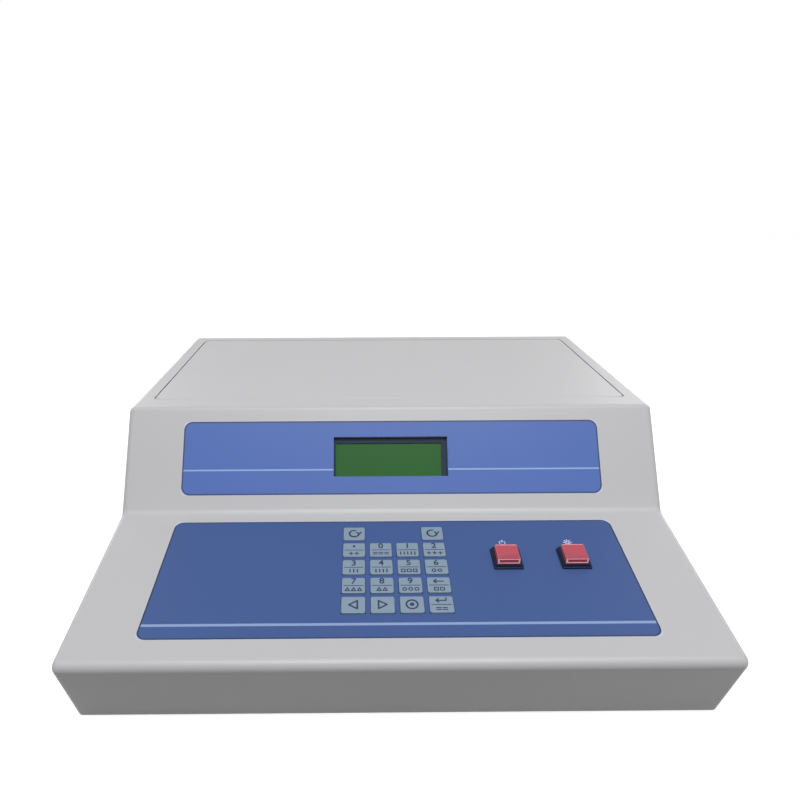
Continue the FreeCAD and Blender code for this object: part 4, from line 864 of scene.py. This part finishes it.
def softened(name, nodeName, body, width, segments=2):
    # a CAD solid with rounded edges: its mesh is copied, cleaned and given a fine bevel
    piece = bpy.data.objects.new(name, nodes[nodeName].data.copy())
    bpy.context.collection.objects.link(piece)
    pick(piece)
    bpy.ops.object.mode_set(mode="EDIT")
    bpy.ops.mesh.select_all(action="SELECT")
    bpy.ops.mesh.remove_doubles(threshold=0.001 * mm)
    bpy.ops.mesh.dissolve_limited(angle_limit=math.radians(1))
    bpy.ops.object.mode_set(mode="OBJECT")
    roundEdges(piece, width, segments, 32)
    return settle(piece, body, finishOf(nodeName), [nodeName])


softEdges = {
    "pressArm": ("press_arm", "press_arm", 0.6 * mm),
    "portRing": ("port_ring", console, 0.5 * mm),
    "cellHolder": ("cell_holder", console, 0.5 * mm),
    "fanFrame": ("fan_frame", console, 0.5 * mm),
    "rearPanel": ("rear_panel", console, 0.25 * mm),
}
for name, (nodeName, body, width) in softEdges.items():
    softened(name, nodeName, body, width)
print("edges of the plain solids rounded")


def alongDepth(first, second):
    return abs(first.x - second.x) < 1e-7 and abs(first.z - second.z) < 1e-7


def roundedPlate(name, low, high, corner, edge):
    # a plate that stands upright: its four corners rounded, then its rims
    plate = block(name, low, high)
    pickEdges(plate, alongDepth)
    bevelPicked(corner, 4)
    roundEdges(plate, edge, 2, 40)
    return plate


# Rear connectors: a slanted shell round a black core with two rows of contacts, and two hexagon posts.
port = {
    "kinds": {"serial": {"rows": (5, 4), "pins": True}, "printer": {"rows": (13, 12), "pins": False}},
    "flange": 12.5 * mm, "flangeDepth": 1.0 * mm, "shell": 8.4 * mm, "wall": 0.55 * mm, "slant": 0.17,
    "corner": 2.2 * mm, "flangeCorner": 1.5 * mm, "edge": 0.15 * mm, "room": 5.4 * mm,
    "pitch": 2.76 * mm, "rowGap": 2.84 * mm, "contact": 0.5 * mm, "pinLength": 5.0 * mm, "post": 2.5 * mm,
    "postLength": 4.0 * mm, "thread": 1.4 * mm,
}


def slantedBlock(name, low, high, corner):
    # a block that is narrower at its lower side, with its long edges rounded
    piece = block(name, low, high)
    middle = (Vector(low) + Vector(high)) / 2
    width, height = high[0] - low[0], high[2] - low[2]
    pickFaces(piece, facing((0, 0, -1)))
    bpy.ops.transform.resize(
        value=(1 - 2 * port["slant"] * height / width, 1, 1), center_override=(middle.x, middle.y, low[2])
    )
    bpy.ops.object.mode_set(mode="OBJECT")
    pickEdges(piece, alongDepth)
    bevelPicked(corner, 4)
    return piece


for kind, make in port["kinds"].items():
    nodeName = kind + "_port"
    low, high = turnedBox(nodeName)
    x, z = (low.x + high.x) / 2, (low.z + high.z) / 2
    pitch, wall = port["pitch"], port["wall"]
    inner = panelOut - 2 * mm
    halfWidth = (port["pitch"] * make["rows"][0] + 3.2 * mm) / 2
    halfHeight = port["shell"] / 2
    shell = slantedBlock(kind + "Port", (x - halfWidth, inner - port["flangeDepth"] / 2, z - halfHeight),
                         (x + halfWidth, high.y, z + halfHeight), port["corner"])
    sinkFace(shell, (0, 1, 0), high.y, wall, port["room"])
    roundEdges(shell, port["edge"], 2, 50)
    flange = roundedPlate("flange", (low.x, inner - port["flangeDepth"], z - port["flange"] / 2),
                          (high.x, inner, z + port["flange"] / 2), port["flangeCorner"], port["edge"])
    parts = [shell, flange]
    postX = (high.x - low.x) / 2 - port["post"] - mm
    for side in (-1, 1):
        post = roller("post", (x + side * postX, panelOut, z), port["post"], port["postLength"], 6, "Y")
        roundEdges(post, port["edge"], 2, 50)
        carve(post, turned("thread", [(0, 0), (port["thread"], 0), (port["thread"], 5 * mm), (0, 5 * mm)],
                           base=(x + side * postX, panelOut + mm, z), axis="Y", steps=20))
        parts.append(post)
    settle(merged(kind + "Port", parts), console, materials["connector"], [nodeName])

    coreEnd = high.y - (3.2 * mm if make["pins"] else 0.6 * mm)
    gap = wall + 0.05 * mm
    core = slantedBlock(kind + "Core", (x - halfWidth + gap, low.y, z - halfHeight + gap),
                        (x + halfWidth - gap, coreEnd, z + halfHeight - gap), port["corner"] * 0.8)
    spots = []
    for row, count in enumerate(make["rows"]):
        for i in range(count):
            spots.append((x + (i - (count - 1) / 2) * pitch, z + (0.5 - row) * port["rowGap"]))
    contacts = []
    for spotX, spotZ in spots:
        r = port["contact"]
        if make["pins"]:
            profile = [(0, -mm), (r, -mm), (r, 2.2 * mm), (r * 0.4, 2.6 * mm), (0, 2.6 * mm)]
            contacts.append(turned("pin", profile, base=(spotX, coreEnd, spotZ), axis="Y", steps=10))
        else:
            profile = [(0, -4 * mm), (r, -4 * mm), (r, mm), (0, mm)]
            contacts.append(turned("hole", profile, base=(spotX, coreEnd, spotZ), axis="Y", steps=8))
    contacts = merged("contacts", contacts)
    if make["pins"]:
        contacts.name = kind + "Pins"
        settle(contacts, console, materials["pins"])
    else:
        carve(core, contacts)
    settle(core, console, materials["blackPlastic"])
print("rear connectors made")

# Mains inlet with its socket, three blades and the fuse drawer under them.
inlet = {
    "flangeCorner": 4 * mm, "edge": 0.4 * mm, "chamfer": 4.5 * mm, "socketCorner": 0.8 * mm,
    "flange": 2.5 * mm, "socket": (24.5 * mm, 16.5 * mm), "socketDepth": 16 * mm, "rise": 5 * mm,
    "body": (28 * mm, 34 * mm), "drawer": (22.3 * mm, 8.3 * mm), "drop": 10 * mm, "drawerDepth": 18.2 * mm,
    "blade": (2 * mm, 5 * mm), "bladeLength": 13 * mm, "bladePitch": 7 * mm, "bladeDrop": 3 * mm,
}
low, high = turnedBox("mains_inlet")
x, z, face = (low.x + high.x) / 2, (low.z + high.z) / 2, high.y
mainsInlet = roundedPlate("mainsInlet", (low.x, face - inlet["flange"], low.z), high, inlet["flangeCorner"],
                          inlet["edge"])
halfX, halfZ = inlet["body"][0] / 2, inlet["body"][1] / 2
weld(mainsInlet, block("housing", (x - halfX, low.y, z - halfZ), (x + halfX, face - mm, z + halfZ)))
halfX, halfZ, middleZ = inlet["socket"][0] / 2, inlet["socket"][1] / 2, z + inlet["rise"]
socket = block("socket", (x - halfX, face - inlet["socketDepth"], middleZ - halfZ),
               (x + halfX, face + mm, middleZ + halfZ))
for width, segments, upper in ((inlet["chamfer"], 1, False), (inlet["socketCorner"], 3, True)):
    pickEdges(socket, lambda a, b: alongDepth(a, b) and (a.z > middleZ) == upper)
    bevelPicked(width, segments)
carve(mainsInlet, socket)
halfX, halfZ, middleZ = inlet["drawer"][0] / 2, inlet["drawer"][1] / 2, z - inlet["drop"]
carve(mainsInlet, block("way", (x - halfX, face - inlet["drawerDepth"], middleZ - halfZ),
                        (x + halfX, face + mm, middleZ + halfZ)))
settle(mainsInlet, console, materials["blackPlastic"], ["mains_inlet"])
blades = []
for number in (-1, 0, 1):
    halfX, halfZ = inlet["blade"][0] / 2, inlet["blade"][1] / 2
    bladeX = x + number * inlet["bladePitch"]
    bladeZ = z + inlet["rise"] + (abs(number) - 0.5) * inlet["bladeDrop"]
    start = face - inlet["socketDepth"]
    blade = block("blade", (bladeX - halfX, start - mm, bladeZ - halfZ),
                  (bladeX + halfX, start + inlet["bladeLength"], bladeZ + halfZ))
    roundEdges(blade, inlet["edge"], 2, 40)
    blades.append(blade)
settle(merged("inletBlades", blades), console, materials["connector"])

drawer = {"edge": 0.35 * mm, "lip": 1.0 * mm, "notch": (7 * mm, 1.6 * mm)}
low, high = turnedBox("fuse_drawer")
fuseDrawer = block("fuseDrawer", low, high)
roundEdges(fuseDrawer, drawer["edge"], 2, 40)
middleX, halfNotch = (low.x + high.x) / 2, drawer["notch"][0] / 2
notch = block("notch", (middleX - halfNotch, high.y - 2 * drawer["lip"], high.z - drawer["notch"][1]),
              (middleX + halfNotch, high.y + mm, high.z + mm))
carve(fuseDrawer, notch)
settle(fuseDrawer, "fuse_drawer", finishOf("fuse_drawer"), ["fuse_drawer"])
print("mains inlet made")

# The sample press: a turned post, and a foot on a stem with a grooved knob.
press = {"post": 6 * mm, "pin": 3 * mm, "pinLength": 12 * mm, "stem": 3 * mm, "foot": 20 * mm, "footHeight": 4 * mm,
         "knob": 7 * mm, "knobHeight": 5 * mm, "bevel": 0.6 * mm, "grooves": 24, "grooveDepth": 0.9}
low, high = turnedBox("press_post")
bevel, shoulder = press["bevel"], high.z - low.z - press["pinLength"]
top = high.z - low.z
profile = [(0, 0), (press["post"], 0), (press["post"], shoulder - bevel), (press["post"] - bevel, shoulder),
           (press["pin"], shoulder), (press["pin"], top - bevel), (press["pin"] - bevel, top), (0, top)]
pressPost = turned("pressPost", profile, base=((low.x + high.x) / 2, (low.y + high.y) / 2, low.z))
settle(pressPost, console, finishOf("press_post"), ["press_post"])

low, high = turnedBox("press_foot")
spot = Vector(((low.x + high.x) / 2, (low.y + high.y) / 2, low.z))
radius, thick, top = press["foot"], press["footHeight"], high.z - low.z
profile = [(0, 0), (radius - bevel, 0), (radius, bevel), (radius, thick * 0.55), (radius - bevel, thick * 0.7),
           (radius * 0.4, thick), (press["stem"] + bevel, thick), (press["stem"], thick + bevel),
           (press["stem"], top - press["knobHeight"] / 2), (0, top - press["knobHeight"] / 2)]
footPiece = turned("pressFoot", profile, base=spot)
settle(footPiece, "press_foot", materials["bareMetal"], ["press_foot"])

knob = roller("pressKnob", spot + Vector((0, 0, top - press["knobHeight"])), press["knob"], press["knobHeight"],
              2 * press["grooves"])


def isGroove(first, second):
    turn = math.atan2(first.y - spot.y, first.x - spot.x) * press["grooves"] / math.pi
    return isUpright(first, second) and round(turn) % 2 == 1


pickEdges(knob, isGroove)
bpy.ops.transform.resize(value=(press["grooveDepth"], press["grooveDepth"], 1), center_override=spot)
bpy.ops.object.mode_set(mode="OBJECT")
roundEdges(knob, 0.3 * mm, 2, 50)
sinkFace(knob, (0, 0, 1), high.z, 1.5 * mm, 0.4 * mm)
settle(knob, "press_foot", materials["knob"], [])

# The white tile: a glazed disc with a rounded rim.
tile = {"rim": 0.8 * mm, "border": 1.6 * mm, "sink": 0.3 * mm}
low, high = turnedBox("white_tile")
radius, height = (high.x - low.x) / 2, high.z - low.z
profile = [(0, 0), (radius - tile["rim"], 0), (radius, tile["rim"]), (radius, height - tile["rim"]),
           (radius - tile["rim"] * 0.3, height - tile["rim"] * 0.3), (radius - tile["rim"], height),
           (radius - tile["border"], height), (radius - tile["border"] - tile["sink"], height - tile["sink"]),
           (0, height - tile["sink"])]
tileDisc = turned("whiteTile", profile, base=((low.x + high.x) / 2, (low.y + high.y) / 2, low.z), steps=72)
settle(tileDisc, "white_tile", materials["tile"], ["white_tile"])

# The fan's rotor: a domed hub and seven twisted blades.
fan = {"hub": 12 * mm, "hubEdge": 1.2 * mm, "dish": 0.5 * mm, "blades": 7, "tip": 26 * mm, "root": 10.5 * mm,
       "chord": 7.6 * mm, "thickness": 1.1 * mm, "tilt": 42, "twist": -22, "axle": 1.5 * mm, "axleLength": 1.5 * mm}
low, high = turnedBox("fan_rotor")
frameLow, frameHigh = turnedBox("fan_frame")
hubX, hubZ = (frameLow.x + frameHigh.x) / 2, (frameLow.z + frameHigh.z) / 2
hubStart, hubEnd = low.y + fan["axleLength"] + 0.3 * mm, high.y
length = hubEnd - hubStart
profile = [(0, -0.3 * mm - fan["axleLength"]), (fan["axle"], -0.3 * mm - fan["axleLength"]), (fan["axle"], 0),
           (fan["hub"] - fan["hubEdge"], 0), (fan["hub"], fan["hubEdge"]), (fan["hub"], length - fan["hubEdge"]),
           (fan["hub"] - fan["hubEdge"], length), (fan["hub"] * 0.6, length), (fan["hub"] * 0.55, length - fan["dish"]),
           (0, length - fan["dish"])]
rotor = [turned("hub", profile, base=(hubX, hubStart, hubZ), axis="Y")]
half, chord = fan["thickness"] / 2, fan["chord"] / 2
blade = block("blade", (-half, -chord, fan["root"]), (half, chord, fan["tip"]))
pickEdges(blade, isUpright)
bpy.ops.mesh.subdivide(number_cuts=6)
bpy.ops.object.mode_set(mode="OBJECT")
twist = blade.modifiers.new("twist", "SIMPLE_DEFORM")
twist.deform_method = "TWIST"
twist.deform_axis = "Z"
twist.angle = math.radians(fan["twist"])
pick(blade)
bpy.ops.object.modifier_apply(modifier=twist.name)
blade.data.transform(Matrix.Rotation(math.radians(fan["tilt"]), 4, "Z"))
reach = max(vertex.co.y for vertex in blade.data.vertices)
for number in range(fan["blades"]):
    twin = copyOf(blade, "blade")
    around = Matrix.Rotation(2 * math.pi * number / fan["blades"], 4, "Y")
    twin.data.transform(Matrix.Translation((hubX, hubStart + max(reach, length / 2), hubZ)) @ around)
    rotor.append(twin)
bpy.data.objects.remove(blade)
settle(merged("fanRotor", rotor), "fan_rotor", finishOf("fan_rotor"), ["fan_rotor"])
print("press, tile and fan made")

# Camera where the photographer stood, found from the corners of the case.
camera = {
    "fromBrow": Vector((-19.3, -479.66, 166.1)) * mm, "pitch": 18.57, "yaw": 0.33, "roll": -0.209,
    "lens": 31.43, "shift": 0.0401,
}
caseLow, caseHigh = turnedBox("top_housing")
lidLow, lidHigh = turnedBox("lid")
lidMargin = 20 * mm
brow = Vector(((caseLow.x + caseHigh.x) / 2, lidLow.y - lidMargin, caseHigh.z))
pitch, yaw, roll = (math.radians(camera[name]) for name in ("pitch", "yaw", "roll"))
ahead = Vector((math.sin(yaw) * math.cos(pitch), math.cos(yaw) * math.cos(pitch), -math.sin(pitch)))
level = ahead.cross(Vector((0, 0, 1))).normalized()
above = level.cross(ahead)
right = level * math.cos(roll) + above * math.sin(roll)
up = above * math.cos(roll) - level * math.sin(roll)
cameraData = bpy.data.cameras.new("camera")
cameraData.lens = camera["lens"]
cameraData.sensor_width = 36
cameraData.shift_x = camera["shift"]
cameraObject = bpy.data.objects.new("camera", cameraData)
bpy.context.collection.objects.link(cameraObject)
cameraObject.matrix_world = Matrix((right, up, -ahead)).transposed().to_4x4()
cameraObject.location = brow + camera["fromBrow"]
bpy.context.scene.camera = cameraObject

# Plain pale floor. The camera, gloss and glass see it near white; it throws little light back.
floor = {"size": 6.0, "shown": 0.40, "glow": 0.90, "bounce": 0.13}


def seenDirectly(tree):
    rays = tree.nodes.new("ShaderNodeLightPath")
    glossy = mathNode(tree, "MAXIMUM", rays.outputs["Is Camera Ray"], rays.outputs["Is Glossy Ray"])
    return mathNode(tree, "MAXIMUM", glossy, rays.outputs["Is Transmission Ray"])


def makeFloor():
    bpy.ops.object.select_all(action="DESELECT")
    bpy.ops.mesh.primitive_plane_add(size=floor["size"], location=(0, 0, cadBox[0].z))
    plane = bpy.context.object
    plane.name = "floor"
    material = bpy.data.materials.new("floor")
    material.use_nodes = True
    tree = material.node_tree
    tree.nodes.remove(tree.nodes["Principled BSDF"])
    output = tree.nodes["Material Output"]
    dull = tree.nodes.new("ShaderNodeBsdfDiffuse")
    dull.inputs["Color"].default_value = (floor["bounce"],) * 3 + (1,)
    pale = tree.nodes.new("ShaderNodeBsdfDiffuse")
    pale.inputs["Color"].default_value = (floor["shown"],) * 3 + (1,)
    glow = tree.nodes.new("ShaderNodeEmission")
    glow.inputs["Strength"].default_value = floor["glow"]
    shown = tree.nodes.new("ShaderNodeAddShader")
    tree.links.new(pale.outputs[0], shown.inputs[0])
    tree.links.new(glow.outputs[0], shown.inputs[1])
    mix = tree.nodes.new("ShaderNodeMixShader")
    tree.links.new(seenDirectly(tree), mix.inputs["Fac"])
    tree.links.new(dull.outputs[0], mix.inputs[1])
    tree.links.new(shown.outputs[0], mix.inputs[2])
    # its underside is clear, so that the base can be looked at from below
    clear = tree.nodes.new("ShaderNodeBsdfTransparent")
    sides = tree.nodes.new("ShaderNodeMixShader")
    tree.links.new(tree.nodes.new("ShaderNodeNewGeometry").outputs["Backfacing"], sides.inputs["Fac"])
    tree.links.new(mix.outputs[0], sides.inputs[1])
    tree.links.new(clear.outputs[0], sides.inputs[2])
    tree.links.new(sides.outputs[0], output.inputs["Surface"])
    plane.data.materials.append(material)


makeFloor()

# Soft boxes above and beside the bench, and an even room light.
room = {"seen": 1.0, "light": 0.185}
lamps = {
    "above": {"place": (0.1, -0.95, 1.8), "size": 1.0, "power": 28},
    "left": {"place": (-1.6, -0.6, 1.3), "size": 1.1, "power": 3},
    "right": {"place": (1.6, -0.6, 1.2), "size": 1.1, "power": 2.5},
    "backLeft": {"place": (-1.2, 1.5, 0.35), "size": 1.0, "power": 7},
    "backRight": {"place": (1.2, 1.5, 0.35), "size": 1.0, "power": 7},
}
world = bpy.data.worlds.new("room")
bpy.context.scene.world = world
world.use_nodes = True
tree = world.node_tree
background = tree.nodes["Background"]
background.inputs["Color"].default_value = (1, 1, 1, 1)
strength = mathNode(tree, "MULTIPLY", seenDirectly(tree), room["seen"] - room["light"])
tree.links.new(mathNode(tree, "ADD", strength, room["light"]), background.inputs["Strength"])
target = Vector((0, 0, 0.08))
for name, lamp in lamps.items():
    light = bpy.data.lights.new(name, "AREA")
    light.shape = "SQUARE"
    light.size = lamp["size"]
    light.energy = lamp["power"]
    holder = bpy.data.objects.new(name, light)
    bpy.context.collection.objects.link(holder)
    holder.location = lamp["place"]
    holder.rotation_euler = (target - holder.location).to_track_quat("-Z", "Y").to_euler()
bpy.context.scene.view_settings.view_transform = "Standard"
print("stage, lights and camera set")

if bpy.context.mode != "OBJECT":
    bpy.ops.object.mode_set(mode="OBJECT")
